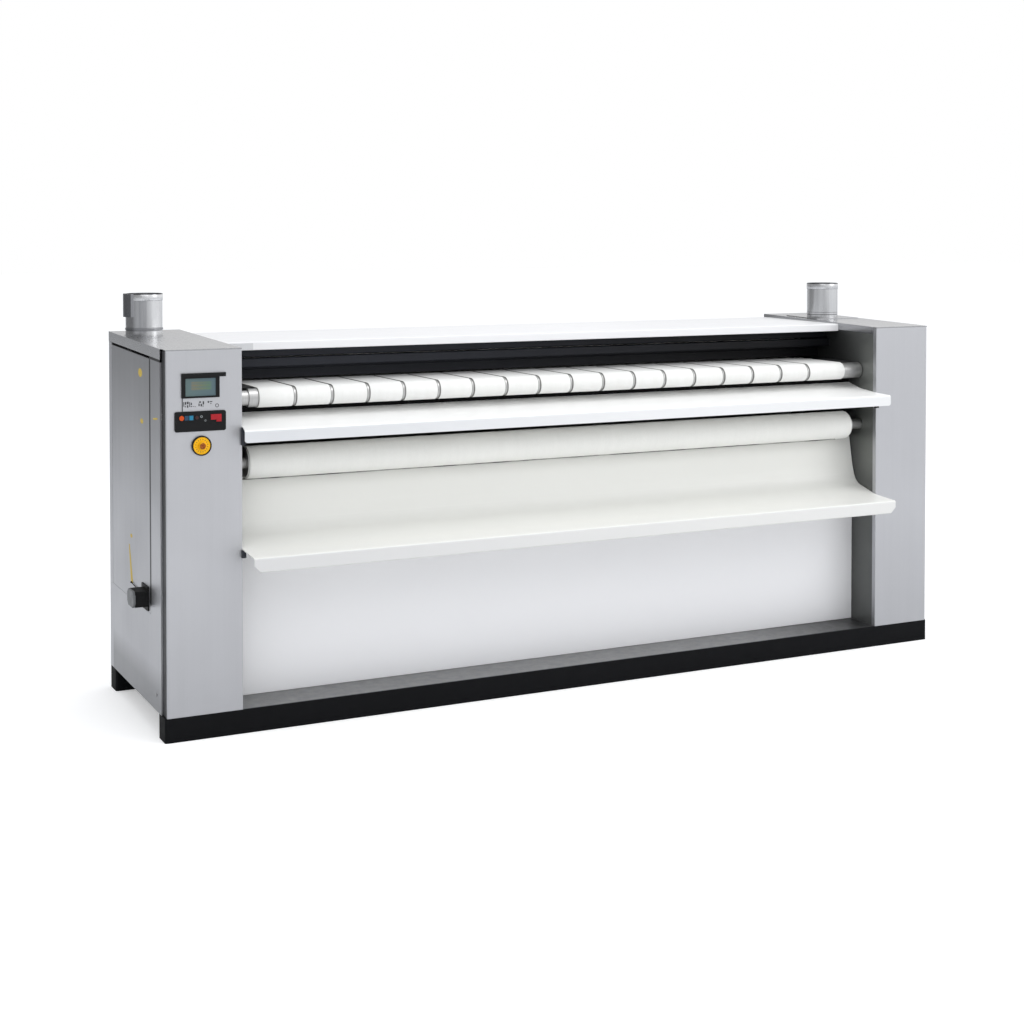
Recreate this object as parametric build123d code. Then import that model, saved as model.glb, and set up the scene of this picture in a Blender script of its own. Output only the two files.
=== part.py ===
from build123d import *
import math
import os

# Flatwork ironer with front feed and front return. All sizes are millimetres.
# Every piece is drawn from the outer left face (x), the plane of the front covers (y) and the
# floor (z). One shift at the end puts the origin under the middle of the overall box.

# ---- frame and housings
WIDTH = 3188.0  # over both end housings
DEPTH = 788.0  # front covers to the rear lips of the roofs
ROOF_FRONT = 1300.0  # roof height at the front
ROOF_FALL = 20.0  # the roof rises by this to the back
HOUSING_W = 266.0
SHEET = 2.0  # cover sheet
BEND = 5.0  # outer bend radius of the covers
WALL = 6.0  # bearing walls
LIP_STEP = 2.0  # inner roof lip and front cover stand proud of the wall by this
RAIL_H = 82.0
RAIL_D = 85.0
RAIL_WALL = 5.0
RAIL_R = 9.0
FLOOR_T = 3.0
CORNER_INSET = 6.0  # shadow channel between side strip and front cover
CORNER_DEPTH = 48.0
JOINT = 1.0  # seam between neighbouring covers
FRONT_RETURN = 20.0

# ---- roof lips
OUTER_LIP = 36.0
INNER_LIP = 28.0
REAR_LIP = 36.0
NOSE = 4.0

# ---- side door
DOOR_FRONT = 185.0
DOOR_STRIP = 52.0  # side strip of the back cover behind the door
DOOR_BOTTOM = 395.0
DOOR_DROP = 45.0  # below the roof line
DOOR_PAN = 12.0
DOOR_GAP = 2.0
DOOR_REAR_GAP = 3.0
HINGE_X = 5.0
HINGE_BACK = 4.0  # hinge axis in front of the door's rear edge
HINGE_PIN_R = 2.0
HINGE_BARREL_R = 3.5
HINGE_BARREL_L = 60.0
HINGE_ARM = 6.0
LOWER_HINGE_Z = 520.0
UPPER_HINGE_DROP = 180.0  # below the front of the roof
AXIAL = 0.4  # end play of a hinge or a journal collar

# ---- fits
RUN = 0.05  # radial clearance of a shaft in its bearing
CLEAR = 0.3  # cloth, belts and keys to what lies beside them
WALL_HOLE = 1.5  # journal to the hole in the wall

# ---- ironing cylinder and the rollers behind and before it
CYLINDER_R = 150.0
CYLINDER_BACK = 248.0  # axis before the rear of the housings
CYLINDER_DROP = 265.0  # axis below the front of the roof
CYLINDER_JOURNAL_R = 30.0
CYLINDER_SHELL = 8.0
CYLINDER_END_GAP = 36.0
ROLLER_END_GAP = 42.0
ROLLER_SHELL = 4.0
END_DISC = 8.0
RETURN_R = 52.5
RETURN_Y = 113.0
RETURN_DROP = 137.0  # below the cylinder's axis
RETURN_JOURNAL_R = 20.0
BELT_ROLLER_R = 27.0
BELT_JOURNAL_R = 12.0
BELT_ROLLER_BACK = 46.0
UPPER_BELT_RISE = 200.0  # above the cylinder's axis
NIP_ANGLE = 20.0  # degrees before the top of the cylinder
NIP_SLACK = 4.0  # free run of the belt between nip roller and cylinder
FEED_R = 32.0
FEED_Y = 120.0
FEED_RISE = 84.0  # above the cylinder's axis
FEED_JOURNAL_R = 26.0
FEED_LEFT_GAP = 56.0
FEED_RIGHT_GAP = 4.0
REAR_FEED_R = 22.0
FEED_NIP = 5.5  # feed bands to the cylinder
BEARING_RIM = 20.0  # half side of the square flange beyond the journal
BEARING_RING = 14.0  # corners of the eight-sided boss beyond the journal
BEARING_FLANGE = 5.0
BEARING_T = 16.0
JOURNAL_END = 5.0

# ---- belts and bands
BELT_T = 3.0
BELT_LEFT_GAP = 48.0  # wall to the belt's edge
BELT_RIGHT_GAP = 79.0
RETURN_OVER = 5.0  # the return roller runs past the belt at both ends
BAND_T = 2.5
BAND_PITCH = 135.5
BAND_GAP = 8.0
BAND_LEFT_GAP = 88.0  # wall to the first band
BAND_RIGHT_GAP = 94.0  # the last band is wide enough to leave this
BED_T = 2.5
BED_MARGIN = 14.0

# ---- drive
DRIVE_BELT_T = 6.0
PULLEY_W = 28.0
PULLEY_GAP = 20.0  # bearings to the pulleys
PULLEY_FLANGE = 4.0
CYLINDER_PULLEY_R = 130.0
MOTOR_PULLEY_R = 45.0
MOTOR_Y = 330.0
MOTOR_Z = 430.0
MOTOR_SHAFT_R = 14.0
PULLEY_HUB = 20.0  # rim of a pulley's hub round the journal
PULLEY_RIM = 12.0
PULLEY_WEB = 9.0
PULLEY_WINDOWS = 5
GEARBOX_W = 110.0
GEARBOX_L = 150.0
GEARBOX_H = 150.0
GEARBOX_EDGE = 8.0
GEARBOX_GAP = 11.0  # output boss to the motor pulley
GEARBOX_BOSS = 8.0
MOTOR_R = 60.0
MOTOR_L = 200.0
MOTOR_FINS = 6  # pairs of fins
FIN_T = 5.0
FIN_DEPTH = 9.0
FAN_COVER_L = 40.0
STAND_T = 8.0

# ---- hood, beams and guard
HOOD_FORWARD = 290.0  # front edge before the cylinder's axis
HOOD_STEP = 2.0  # front edge above the front of the roof
HOOD_FALL = 4.0
HOOD_LIP = 30.0
HOOD_RETURN = 14.0
HOOD_GAP = 0.5
JOINT_PLATE_W = 117.0
JOINT_PLATE_T = 1.0
UPPER_BEAM_FORWARD = 210.0  # before the cylinder's axis
UPPER_BEAM_DROP = 61.0  # below the hood
UPPER_BEAM_H = 29.0
UPPER_BEAM_D = 32.0
BEAM_T = 3.0
GUARD_BEAM_FORWARD = 222.0  # before the cylinder's axis
GUARD_BEAM_DROP = 96.0  # below the hood
GUARD_BEAM_D = 40.0
GUARD_BEAM_H = 32.0
GUARD_ROD_R = 6.0
GUARD_PIVOT_R = 4.0
GUARD_FORWARD = 144.0  # before the cylinder's axis
GUARD_BELOW = 8.0  # pivot under the guard beam
GUARD_T = 3.0
GUARD_OVER_BANDS = 6.5
GUARD_END_GAP = 1.0

# ---- lower front, shelf and tray
PANEL_Y = 155.0
PANEL_RISE = 86.0  # top edge above the tray's lip
PANEL_RETURN = 22.0
SHELF_T = 2.5
SHELF_REAR_Y = 177.0
SHELF_REAR_RISE = 34.0  # above the lip
SHELF_KNEE_Y = 102.0
SHELF_KNEE_RISE = 15.0
SHELF_KNEE_R = 160.0
SHELF_CREASE_Y = 7.0
SHELF_CREASE_RISE = 6.0
SHELF_CREASE_R = 220.0
SHELF_LIP_R = 7.5
SHELF_PROUD = 75.0
SHELF_DROP = 89.0  # lip below the feed roller's axis
SHELF_LIP_H = 41.0
SHELF_CORNER_R = 10.0
SHELF_OVERHANG = 14.0
SHELF_FACE_GAP = 3.0
TRAY_PROUD = 127.0
TRAY_T = 3.0
TRAY_TOP_Y = 172.0
TRAY_TOP_RISE = 226.0  # above the lip
TRAY_BACK_Y = 150.0
TRAY_BACK_RISE = 108.0
TRAY_BACK_R = 120.0
TRAY_FOOT_Y = 128.0
TRAY_FOOT_RISE = 42.0
TRAY_FOOT_R = 60.0
TRAY_FLOOR_RISE = 8.0
TRAY_FLOOR_R = 200.0
TRAY_DROP = 284.0  # lip below the return roller's axis
TRAY_LIP_H = 50.0
TRAY_LIP_R = 8.0
TRAY_RETURN = 14.0
TRAY_CUT = 24.0  # lower corners of the lip
TRAY_GAP = 3.0  # at each end
TAB_W = 14.0
TAB_D = 12.0
TAB_OVER = 5.0  # width of the tab that bears on the front cover
SHELF_TAB_H = 62.0
TRAY_TAB_H = 27.0

# ---- exhaust
DUCT_OD = 132.0
DUCT_T = 2.0
DUCT_RISE = 163.0  # above the front of the roof
DUCT_BELOW = 18.0
LEFT_DUCT_IN = 168.0  # axis outside the left housing's inner side
LEFT_DUCT_BACK = 138.0  # axis before the rear of the housings
RIGHT_DUCT_IN = 138.0
RIGHT_DUCT_BACK = 243.0
BEAD_R = 2.5
BEAD_UP = 16.0  # bead above the roof
SEAM_T = 9.0
SEAM_H = 84.0
SEAM_ARC = 46.0
FLANGE_SIDE = 220.0
FLANGE_T = 3.0
FAN_R = 85.0  # first quarter of the scroll
FAN_STEP = 18.0  # growth of the scroll per quarter turn
FAN_W = 100.0
FAN_DROP = 120.0  # scroll centre below the neck
FAN_NECK = 50.0
FAN_WELL = 40.0
FAN_WELL_STEP = 4.0  # inside the spigot's bore
FAN_INLET_R = 52.0
FAN_INLET_RIM = 6.0
FAN_INLET_DEPTH = 30.0
FAN_MOTOR_R = 38.0
FAN_MOTOR_GAP = 14.0  # motor to the cylinder's pulley or bearing

# ---- controls on the left front cover
BEZEL_LEFT = 59.5
BEZEL_W = 128.0
BEZEL_DROP = 161.0  # lower edge below the front of the roof
BEZEL_H = 82.0
BEZEL_T = 6.0
BEZEL_FRAME = 12.5
BEZEL_FOOT = 6.0
BROW_W = 149.5
BROW_H = 13.0
BROW_GAP = 4.0  # brow to the display
BROW_PROUD = 2.0
RIB_IN = 2.0
RIB_T = 2.0
SCREEN_T = 3.5
KEYPAD_LEFT = 36.0
KEYPAD_W = 173.0
KEYPAD_BELOW = 44.0  # bezel to the keypad
KEYPAD_H = 67.0
KEYPAD_T = 5.0
KEYPAD_R = 7.0
KEY_RISE = 46.0  # row of keys above the keypad's lower edge
KEY_PROUD = 2.5
KEY_BACK = 1.4
ROUND_KEY_R = 8.0
SMALL_KEY_R = 6.0
BLUE_KEY_W = 13.0
BLUE_KEY_H = 15.0
RED_KEY_W = 36.0
RED_KEY_H = 18.0
RED_KEY_LOWER_W = 17.0
RED_KEY_LOWER_H = 7.0
ORANGE_X = 58.5
LEFT_BLUE_X = 75.5
RIGHT_BLUE_X = 91.0
BROWN_X = 110.0
RED_X = 175.0
ESTOP_X = 126.0
ESTOP_BELOW = 48.0  # centre below the keypad
ESTOP_R = 29.0
ESTOP_RIM = 4.0
ESTOP_RIM_PROUD = 2.0
ESTOP_T = 6.0
ESTOP_BUTTON_R = 12.0
ESTOP_BUTTON_H = 9.0
ESTOP_BUTTON_EDGE = 2.5
ESTOP_STEM_R = 8.0
ESTOP_TRAVEL = 4.0
ESTOP_SPARE = 0.5

# ---- main switch on the side door
SWITCH_IN = 66.0  # centre behind the door's front edge
SWITCH_RISE = 45.0  # centre above the door's lower edge
SWITCH_PLATE_D = 90.0
SWITCH_PLATE_H = 84.0
SWITCH_PLATE_T = 4.0
SWITCH_BODY_D = 86.0
SWITCH_BODY_H = 54.0
SWITCH_BODY_X = 41.0
SWITCH_R = 5.0
SWITCH_HUB_R = 9.0
SWITCH_HUB_IN = 10.0
SWITCH_BORE = 14.0
SWITCH_HANDLE_D = 90.0
SWITCH_HANDLE_H = 56.0
SWITCH_HANDLE_X = 7.0
SWITCH_HANDLE_CUT = 14.0
SWITCH_PLAY = 1.0

# ---- small parts
SCREW_R = 5.5  # to the corners of the hexagon head
SCREW_H = 2.5
SIDE_SCREW_Y = 109.0
SIDE_SCREW_Z = 137.0
SCREW_INSET = 22.0
LOUVRE_W = 150.0
LOUVRE_H = 6.0
LOUVRE_PITCH = 18.0
LOUVRE_ROWS = 6
LOUVRE_LOW = 130.0  # lower group above the rails
LOUVRE_HIGH = 320.0  # upper group below the roof
REAR_PANELS = 3
GLAND_X = 60.0
GLAND_BACK = 138.0
GLAND_R = 11.0
GLAND_NUT = 16.0
GLAND_NUT_H = 9.0
GLAND_CABLE_R = 7.0
GLAND_BELOW = 16.0

# ---- electrical plate on the left wall
PLATE_BACK = 358.0  # front edge before the rear of the housings
PLATE_L = 310.0
PLATE_LOW = 150.0
PLATE_H = 230.0
PLATE_T = 2.0
PLATE_STANDOFF = 18.0
STANDOFF_R = 6.0
STANDOFF_INSET = 15.0
DIN_H = 35.0
DIN_T = 7.5
CONTACTORS = 4
CONTACTOR_W = 45.0
CONTACTOR_GAP = 9.0
CONTACTOR_H = 78.0
CONTACTOR_D = 42.0
TERMINAL_H = 40.0
TERMINAL_D = 30.0

# ---- values that follow from the sizes above
ROOF_REAR = ROOF_FRONT + ROOF_FALL
DOOR_REAR = DEPTH - DOOR_STRIP
UPPER_HINGE_Z = ROOF_FRONT - UPPER_HINGE_DROP
WALL_FACE = HOUSING_W - LIP_STEP
WALL_BACK = WALL_FACE - WALL
RIGHT_WALL_FACE = WIDTH - WALL_FACE
CYLINDER_Y = DEPTH - CYLINDER_BACK
CYLINDER_Z = ROOF_FRONT - CYLINDER_DROP
RETURN_Z = CYLINDER_Z - RETURN_DROP
BELT_ROLLER_Y = DEPTH - BELT_ROLLER_BACK
UPPER_BELT_Z = CYLINDER_Z + UPPER_BELT_RISE
FEED_Z = CYLINDER_Z + FEED_RISE
HOOD_FRONT = CYLINDER_Y - HOOD_FORWARD
HOOD_REAR = DEPTH - 2 * SHEET
HOOD_Z_FRONT = ROOF_FRONT + HOOD_STEP
HOOD_Z_REAR = HOOD_Z_FRONT + HOOD_FALL
REAR_PANEL_Y = HOOD_REAR - SHEET
UPPER_BEAM_Y = CYLINDER_Y - UPPER_BEAM_FORWARD
UPPER_BEAM_Z = HOOD_Z_FRONT - UPPER_BEAM_DROP
GUARD_BEAM_Y = CYLINDER_Y - GUARD_BEAM_FORWARD
GUARD_BEAM_Z = HOOD_Z_FRONT - GUARD_BEAM_DROP
GUARD_Y = CYLINDER_Y - GUARD_FORWARD
GUARD_Z = GUARD_BEAM_Z - GUARD_BELOW
SHELF_LIP_Z = FEED_Z - SHELF_DROP
SHELF_REAR_Z = SHELF_LIP_Z + SHELF_REAR_RISE
SHELF_KNEE_Z = SHELF_LIP_Z + SHELF_KNEE_RISE
SHELF_CREASE_Z = SHELF_LIP_Z + SHELF_CREASE_RISE
TRAY_LIP_Z = RETURN_Z - TRAY_DROP
TRAY_TOP_Z = TRAY_LIP_Z + TRAY_TOP_RISE
TRAY_BACK_Z = TRAY_LIP_Z + TRAY_BACK_RISE
TRAY_FOOT_Z = TRAY_LIP_Z + TRAY_FOOT_RISE
TRAY_FLOOR_Z = TRAY_LIP_Z + TRAY_FLOOR_RISE
PANEL_TOP = TRAY_LIP_Z + PANEL_RISE
BELT_LEFT = WALL_FACE + BELT_LEFT_GAP
BELT_RIGHT = RIGHT_WALL_FACE - BELT_RIGHT_GAP
BAND_LEFT = WALL_FACE + BAND_LEFT_GAP
BAND_RIGHT = RIGHT_WALL_FACE - BAND_RIGHT_GAP
BAND_COUNT = int((BAND_RIGHT - BAND_LEFT) / BAND_PITCH)
BAND_TOP = FEED_Z + FEED_R + CLEAR + BAND_T
REAR_FEED_Z = BAND_TOP - BAND_T - CLEAR - REAR_FEED_R
REAR_FEED_REACH = CYLINDER_R + FEED_NIP + BAND_T + CLEAR + REAR_FEED_R
REAR_FEED_Y = CYLINDER_Y - math.sqrt(REAR_FEED_REACH**2 - (REAR_FEED_Z - CYLINDER_Z) ** 2)
LOWER_BELT_Z = RETURN_Z - RETURN_R + BELT_ROLLER_R
NIP_REACH = CYLINDER_R + BELT_T + BELT_ROLLER_R + 2 * CLEAR + NIP_SLACK
NIP_Y = CYLINDER_Y - NIP_REACH * math.sin(math.radians(NIP_ANGLE))
NIP_Z = CYLINDER_Z + NIP_REACH * math.cos(math.radians(NIP_ANGLE))
LEFT_DUCT_X = HOUSING_W - LEFT_DUCT_IN
LEFT_DUCT_Y = DEPTH - LEFT_DUCT_BACK
RIGHT_DUCT_X = WIDTH - HOUSING_W + RIGHT_DUCT_IN
RIGHT_DUCT_Y = DEPTH - RIGHT_DUCT_BACK
DUCT_R = DUCT_OD / 2
DUCT_TOP = ROOF_FRONT + DUCT_RISE
PULLEY_X = WALL_BACK - BEARING_T - PULLEY_GAP - PULLEY_W / 2
PULLEY_X0 = PULLEY_X - PULLEY_W / 2
PULLEY_X1 = PULLEY_X + PULLEY_W / 2
GEARBOX_X = PULLEY_X0 - GEARBOX_GAP - GEARBOX_BOSS - GEARBOX_W / 2
GLAND_Y = DEPTH - GLAND_BACK
PLATE_FRONT = DEPTH - PLATE_BACK
BEZEL_Z = ROOF_FRONT - BEZEL_DROP
KEYPAD_Z = BEZEL_Z - KEYPAD_BELOW - KEYPAD_H
KEY_Z = KEYPAD_Z + KEY_RISE
ESTOP_Z = KEYPAD_Z - ESTOP_BELOW
SWITCH_Y = DOOR_FRONT + SWITCH_IN
SWITCH_Z = DOOR_BOTTOM + SWITCH_RISE
SWITCH_PROUD = SWITCH_PLATE_T + SWITCH_BODY_X + SWITCH_PLAY + SWITCH_HANDLE_X
OVERALL_W = WIDTH + SWITCH_PROUD + SCREW_H
OVERALL_D = DEPTH + TRAY_PROUD
ORIGIN_SHIFT = Pos(SWITCH_PROUD - OVERALL_W / 2, TRAY_PROUD - OVERALL_D / 2, 0)


def roof(y):
    """Height of the roof line at a depth."""
    return ROOF_FRONT + (ROOF_REAR - ROOF_FRONT) * y / DEPTH


def block(x0, x1, y0, y1, z0, z1):
    """Rectangular block between two opposite corners."""
    return Pos((x0 + x1) / 2, (y0 + y1) / 2, (z0 + z1) / 2) * Box(x1 - x0, y1 - y0, z1 - z0)


def rod(y, z, r, x0, x1):
    """Round bar that lies across the machine."""
    return Pos((x0 + x1) / 2, y, z) * Rot(0, 90, 0) * Cylinder(r, x1 - x0)


def post(x, y, r, z0, z1):
    """Upright round bar."""
    return Pos(x, y, (z0 + z1) / 2) * Cylinder(r, z1 - z0)


def stud(x, z, r, y0, y1):
    """Round bar that points from front to back."""
    return Pos(x, (y0 + y1) / 2, z) * Rot(90, 0, 0) * Cylinder(r, y1 - y0)


def across(face, x0, x1):
    """A face drawn in depth and height, carried across the machine from x0 to x1."""
    return extrude(Plane((x0, 0, 0), x_dir=(0, 1, 0), z_dir=(1, 0, 0)) * face, x1 - x0)


def upright(face, z0, z1):
    """A face drawn in plan, carried from z0 up to z1."""
    return extrude(Pos(0, 0, z0) * face, z1 - z0)


def folded(points, radii, t, side=Side.LEFT):
    """Section of a bent sheet: the points lie on its outer skin, t is laid on one side."""
    line = FilletPolyline(*points, radius=radii).wire()
    return make_face(line.offset_2d(t, kind=Kind.INTERSECTION, side=side, closed=True).edges())


def below_roof(shape, drop):
    """Cuts a shape off along a line that lies under the roof line."""
    far = 2 * DEPTH
    corners = [(-far, -far), (far, -far), (far, roof(far) - drop), (-far, roof(-far) - drop)]
    return shape & across(make_face(Polyline(*corners, close=True)), -WIDTH, 2 * WIDTH)


def to_right(shape):
    """The mirror image of a left-hand piece at the right-hand end."""
    return mirror(shape, about=Plane.YZ.offset(WIDTH / 2))


def save(name, shape):
    """Writes one piece, moved to the common origin."""
    export_step(ORIGIN_SHIFT * shape, f"parts/{name}.step")


def loop_wire(wheels, t, offset):
    """Closed path of a belt round its wheels, offset from the skin that is inside the loop.

    A wheel is (y, z, radius, inside). The path runs anticlockwise; a wheel outside the loop is
    passed clockwise and dents it.
    """
    circles = []
    for y, z, r, inside in wheels:
        circles.append((y, z, r + offset if inside else r + t - offset, 1 if inside else -1))
    count = len(circles)
    leave = []
    meet = []
    for i in range(count):
        ya, za, ra, sa = circles[i]
        yb, zb, rb, sb = circles[(i + 1) % count]
        span = math.hypot(yb - ya, zb - za)
        turn = math.atan2(zb - za, yb - ya) - math.acos((sa * ra - sb * rb) / span)
        leave.append((ya + sa * ra * math.cos(turn), za + sa * ra * math.sin(turn)))
        meet.append((yb + sb * rb * math.cos(turn), zb + sb * rb * math.sin(turn)))
    edges = []
    for i in range(count):
        y, z, r, s = circles[i]
        start = meet[i - 1]
        end = leave[i]
        a0 = math.atan2(start[1] - z, start[0] - y)
        a1 = math.atan2(end[1] - z, end[0] - y)
        sweep = (a1 - a0) % (2 * math.pi) if s > 0 else -((a0 - a1) % (2 * math.pi))
        middle = a0 + sweep / 2
        halfway = (y + r * math.cos(middle), z + r * math.sin(middle))
        edges.append(ThreePointArc(start, halfway, end).edge())
        edges.append(Line(end, meet[i]).edge())
    return Wire(edges)


def belt(wheels, t):
    """Section of an endless belt of thickness t that lies CLEAR outside its wheels."""
    seated = [(y, z, r + CLEAR, inside) for y, z, r, inside in wheels]
    return Face(loop_wire(seated, t, t), [loop_wire(seated, t, 0)])


def roller(y, z, r, journal_r, x0, x1, shell, left_end, right_end):
    """Hollow roller with end discs and solid journals, turned about its own axis."""
    body = rod(y, z, r, x0, x1) - rod(y, z, r - shell, x0 + END_DISC, x1 - END_DISC)
    return body + rod(y, z, journal_r, left_end, x0) + rod(y, z, journal_r, x1, right_end)


# ------------------------------------------------------------------ base frame
def base_rail(y0):
    """Welded box rail with closed, rounded ends."""
    outer = block(0, WIDTH, y0, y0 + RAIL_D, 0, RAIL_H)
    outer = fillet(outer.edges().filter_by(Axis.Z), RAIL_R)
    t = RAIL_WALL
    return outer - block(t, WIDTH - t, y0 + t, y0 + RAIL_D - t, t, RAIL_H - t)


def floor_plate():
    """Housing floor that ties the two rails together."""
    return block(CORNER_INSET + SHEET, WALL_FACE, BEND, DEPTH - 2 * SHEET, RAIL_H, RAIL_H + FLOOR_T)


# ------------------------------------------------------------------ housings, drawn at the left
def inner_wall(ports):
    """Bearing wall with a clearance hole for every journal."""
    wall = block(WALL_BACK, WALL_FACE, BEND, DEPTH - 2 * SHEET, RAIL_H + FLOOR_T, ROOF_REAR)
    wall = below_roof(wall, SHEET)
    for y, z, r in ports:
        wall -= rod(y, z, r, WALL_BACK - 1, WALL_FACE + 1)
    return wall


def front_cover():
    """Front sheet with a return on either side; the outer return forms the corner channel."""
    outline = [
        (CORNER_INSET, CORNER_DEPTH - JOINT),
        (CORNER_INSET, 0),
        (HOUSING_W, 0),
        (HOUSING_W, FRONT_RETURN),
    ]
    return upright(folded(outline, [BEND, BEND / 2], SHEET), RAIL_H, ROOF_FRONT - NOSE)


def top_cover():
    """Sloping roof sheet with folded lips and a notch over the corner channel."""
    top = [(0, ROOF_FRONT), (DEPTH, ROOF_REAR), (DEPTH, ROOF_REAR - SHEET), (0, ROOF_FRONT - SHEET)]
    sheet = across(make_face(Polyline(*top, close=True)), 0, HOUSING_W)
    outer = [
        (CORNER_DEPTH, roof(CORNER_DEPTH) - SHEET),
        (DEPTH, roof(DEPTH) - SHEET),
        (DEPTH, roof(DEPTH) - OUTER_LIP),
        (CORNER_DEPTH, roof(CORNER_DEPTH) - OUTER_LIP),
    ]
    inner = [
        (FRONT_RETURN + JOINT, roof(FRONT_RETURN + JOINT) - SHEET),
        (DEPTH, roof(DEPTH) - SHEET),
        (DEPTH, roof(DEPTH) - INNER_LIP),
        (FRONT_RETURN + JOINT, roof(FRONT_RETURN + JOINT) - INNER_LIP),
    ]
    cover = sheet + across(make_face(Polyline(*outer, close=True)), 0, SHEET)
    cover += across(make_face(Polyline(*inner, close=True)), HOUSING_W - SHEET, HOUSING_W)
    cover += block(0, HOUSING_W, DEPTH - SHEET, DEPTH, ROOF_REAR - REAR_LIP, ROOF_REAR - SHEET)
    cover += block(CORNER_INSET, HOUSING_W, 0, SHEET, ROOF_FRONT - NOSE, ROOF_FRONT - SHEET / 2)
    return cover - block(-1, CORNER_INSET, -1, CORNER_DEPTH, ROOF_FRONT - OUTER_LIP, ROOF_REAR + 1)


def side_panel():
    """Fixed side sheet that starts with the return at the back of the corner channel."""
    y1 = DOOR_REAR + DOOR_REAR_GAP
    sheet = block(0, SHEET, CORNER_DEPTH, y1, RAIL_H, ROOF_REAR)
    sheet += block(0, CORNER_INSET, CORNER_DEPTH, CORNER_DEPTH + SHEET, RAIL_H, ROOF_REAR)
    return below_roof(sheet, OUTER_LIP + JOINT / 2)


def door_opening():
    """What the side door leaves out of the left side sheet."""
    return block(-1, SHEET + 1, DOOR_FRONT - DOOR_GAP, DEPTH, DOOR_BOTTOM - JOINT, 2 * ROOF_REAR)


def hinge_axis():
    """Plan position of the side door's hinge pins."""
    return HINGE_X, DOOR_REAR - HINGE_BACK


def louvres(x, y, z):
    """Rows of ventilation slots through a rear cover."""
    slot = block(x - LOUVRE_W / 2, x + LOUVRE_W / 2, y - 2 * SHEET, y + SHEET, z, z + LOUVRE_H)
    return [Pos(0, 0, i * LOUVRE_PITCH) * slot for i in range(LOUVRE_ROWS)]


def back_cover():
    """Rear sheet of a housing with its louvres and the narrow return beside the door."""
    y1 = DEPTH - SHEET
    strip = DOOR_REAR + DOOR_REAR_GAP
    outline = [(0, strip), (0, y1), (WALL_BACK, y1)]
    cover = upright(folded(outline, [BEND / 2], SHEET, Side.RIGHT), RAIL_H, ROOF_REAR)
    cover = below_roof(cover, OUTER_LIP + JOINT)
    for z in (RAIL_H + LOUVRE_LOW, ROOF_FRONT - LOUVRE_HIGH):
        for slot in louvres(WALL_BACK / 2, y1, z):
            cover -= slot
    return cover


def hinge_brackets():
    """Two arms and a pin for each hinge, carried by the back cover."""
    x, y = hinge_axis()
    rear = DEPTH - 2 * SHEET
    arm_x = x + HINGE_ARM + HINGE_BARREL_R
    pieces = []
    for z in (LOWER_HINGE_Z, UPPER_HINGE_Z):
        low = z - HINGE_BARREL_L / 2 - AXIAL
        high = z + HINGE_BARREL_L / 2 + AXIAL
        pieces.append(post(x, y, HINGE_PIN_R, low, high))
        for z0, z1 in ((low - HINGE_ARM, low), (high, high + HINGE_ARM)):
            pieces.append(block(x - HINGE_PIN_R, arm_x, y - HINGE_BACK, y + SHEET / 2, z0, z1))
        web = block(arm_x - SHEET, arm_x + SHEET, y - HINGE_BACK, rear, low - HINGE_ARM, high + HINGE_ARM)
        pieces.append(web)
    return pieces


def side_door():
    """Pan-shaped service door whose top follows the roof, with its two hinge barrels."""
    sheet = block(0, SHEET, DOOR_FRONT, DOOR_REAR, DOOR_BOTTOM, ROOF_REAR)
    sheet += block(0, DOOR_PAN, DOOR_FRONT, DOOR_FRONT + SHEET, DOOR_BOTTOM, ROOF_REAR)
    sheet += block(0, DOOR_PAN, DOOR_FRONT, DOOR_REAR - DOOR_PAN, DOOR_BOTTOM, DOOR_BOTTOM + SHEET)
    door = below_roof(sheet, DOOR_DROP)
    rim = block(0, DOOR_PAN, DOOR_FRONT, DOOR_REAR - DOOR_PAN, DOOR_BOTTOM, ROOF_REAR)
    door += below_roof(rim, DOOR_DROP) - below_roof(rim, DOOR_DROP + SHEET)
    x, y = hinge_axis()
    for z in (LOWER_HINGE_Z, UPPER_HINGE_Z):
        z0 = z - HINGE_BARREL_L / 2
        z1 = z + HINGE_BARREL_L / 2
        door += block(SHEET / 2, x, y - HINGE_BARREL_R, y, z0, z1)
        door += post(x, y, HINGE_BARREL_R, z0, z1)
        door -= post(x, y, HINGE_PIN_R + RUN, z0 - 1, z1 + 1)
    return door


# ------------------------------------------------------------------ middle section
def hood_cover():
    """Lift-off hood with folded front and rear edges."""
    outline = [
        (HOOD_FRONT + HOOD_RETURN, HOOD_Z_FRONT - HOOD_LIP),
        (HOOD_FRONT, HOOD_Z_FRONT - HOOD_LIP),
        (HOOD_FRONT, HOOD_Z_FRONT),
        (HOOD_REAR, HOOD_Z_REAR),
        (HOOD_REAR, HOOD_Z_REAR - HOOD_LIP),
    ]
    section = folded(outline, [BEND / 2, BEND, BEND], SHEET, Side.RIGHT)
    return across(section, HOUSING_W + HOOD_GAP, WIDTH - HOUSING_W - HOOD_GAP)


def upper_beam():
    """Channel under the hood's front edge."""
    outline = [
        (UPPER_BEAM_Y + UPPER_BEAM_D, UPPER_BEAM_Z),
        (UPPER_BEAM_Y, UPPER_BEAM_Z),
        (UPPER_BEAM_Y, UPPER_BEAM_Z + UPPER_BEAM_H),
        (UPPER_BEAM_Y + UPPER_BEAM_D, UPPER_BEAM_Z + UPPER_BEAM_H),
    ]
    return across(folded(outline, BEND, BEAM_T, Side.RIGHT), WALL_FACE, RIGHT_WALL_FACE)


def guard_beam():
    """Box beam behind which the finger guard hangs."""
    y = GUARD_BEAM_Y + GUARD_BEAM_D / 2
    z = GUARD_BEAM_Z + GUARD_BEAM_H / 2
    section = RectangleRounded(GUARD_BEAM_D, GUARD_BEAM_H, BEND)
    section -= RectangleRounded(GUARD_BEAM_D - 2 * BEAM_T, GUARD_BEAM_H - 2 * BEAM_T, BEND - BEAM_T)
    return across(Pos(y, z) * section, WALL_FACE, RIGHT_WALL_FACE)


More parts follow.
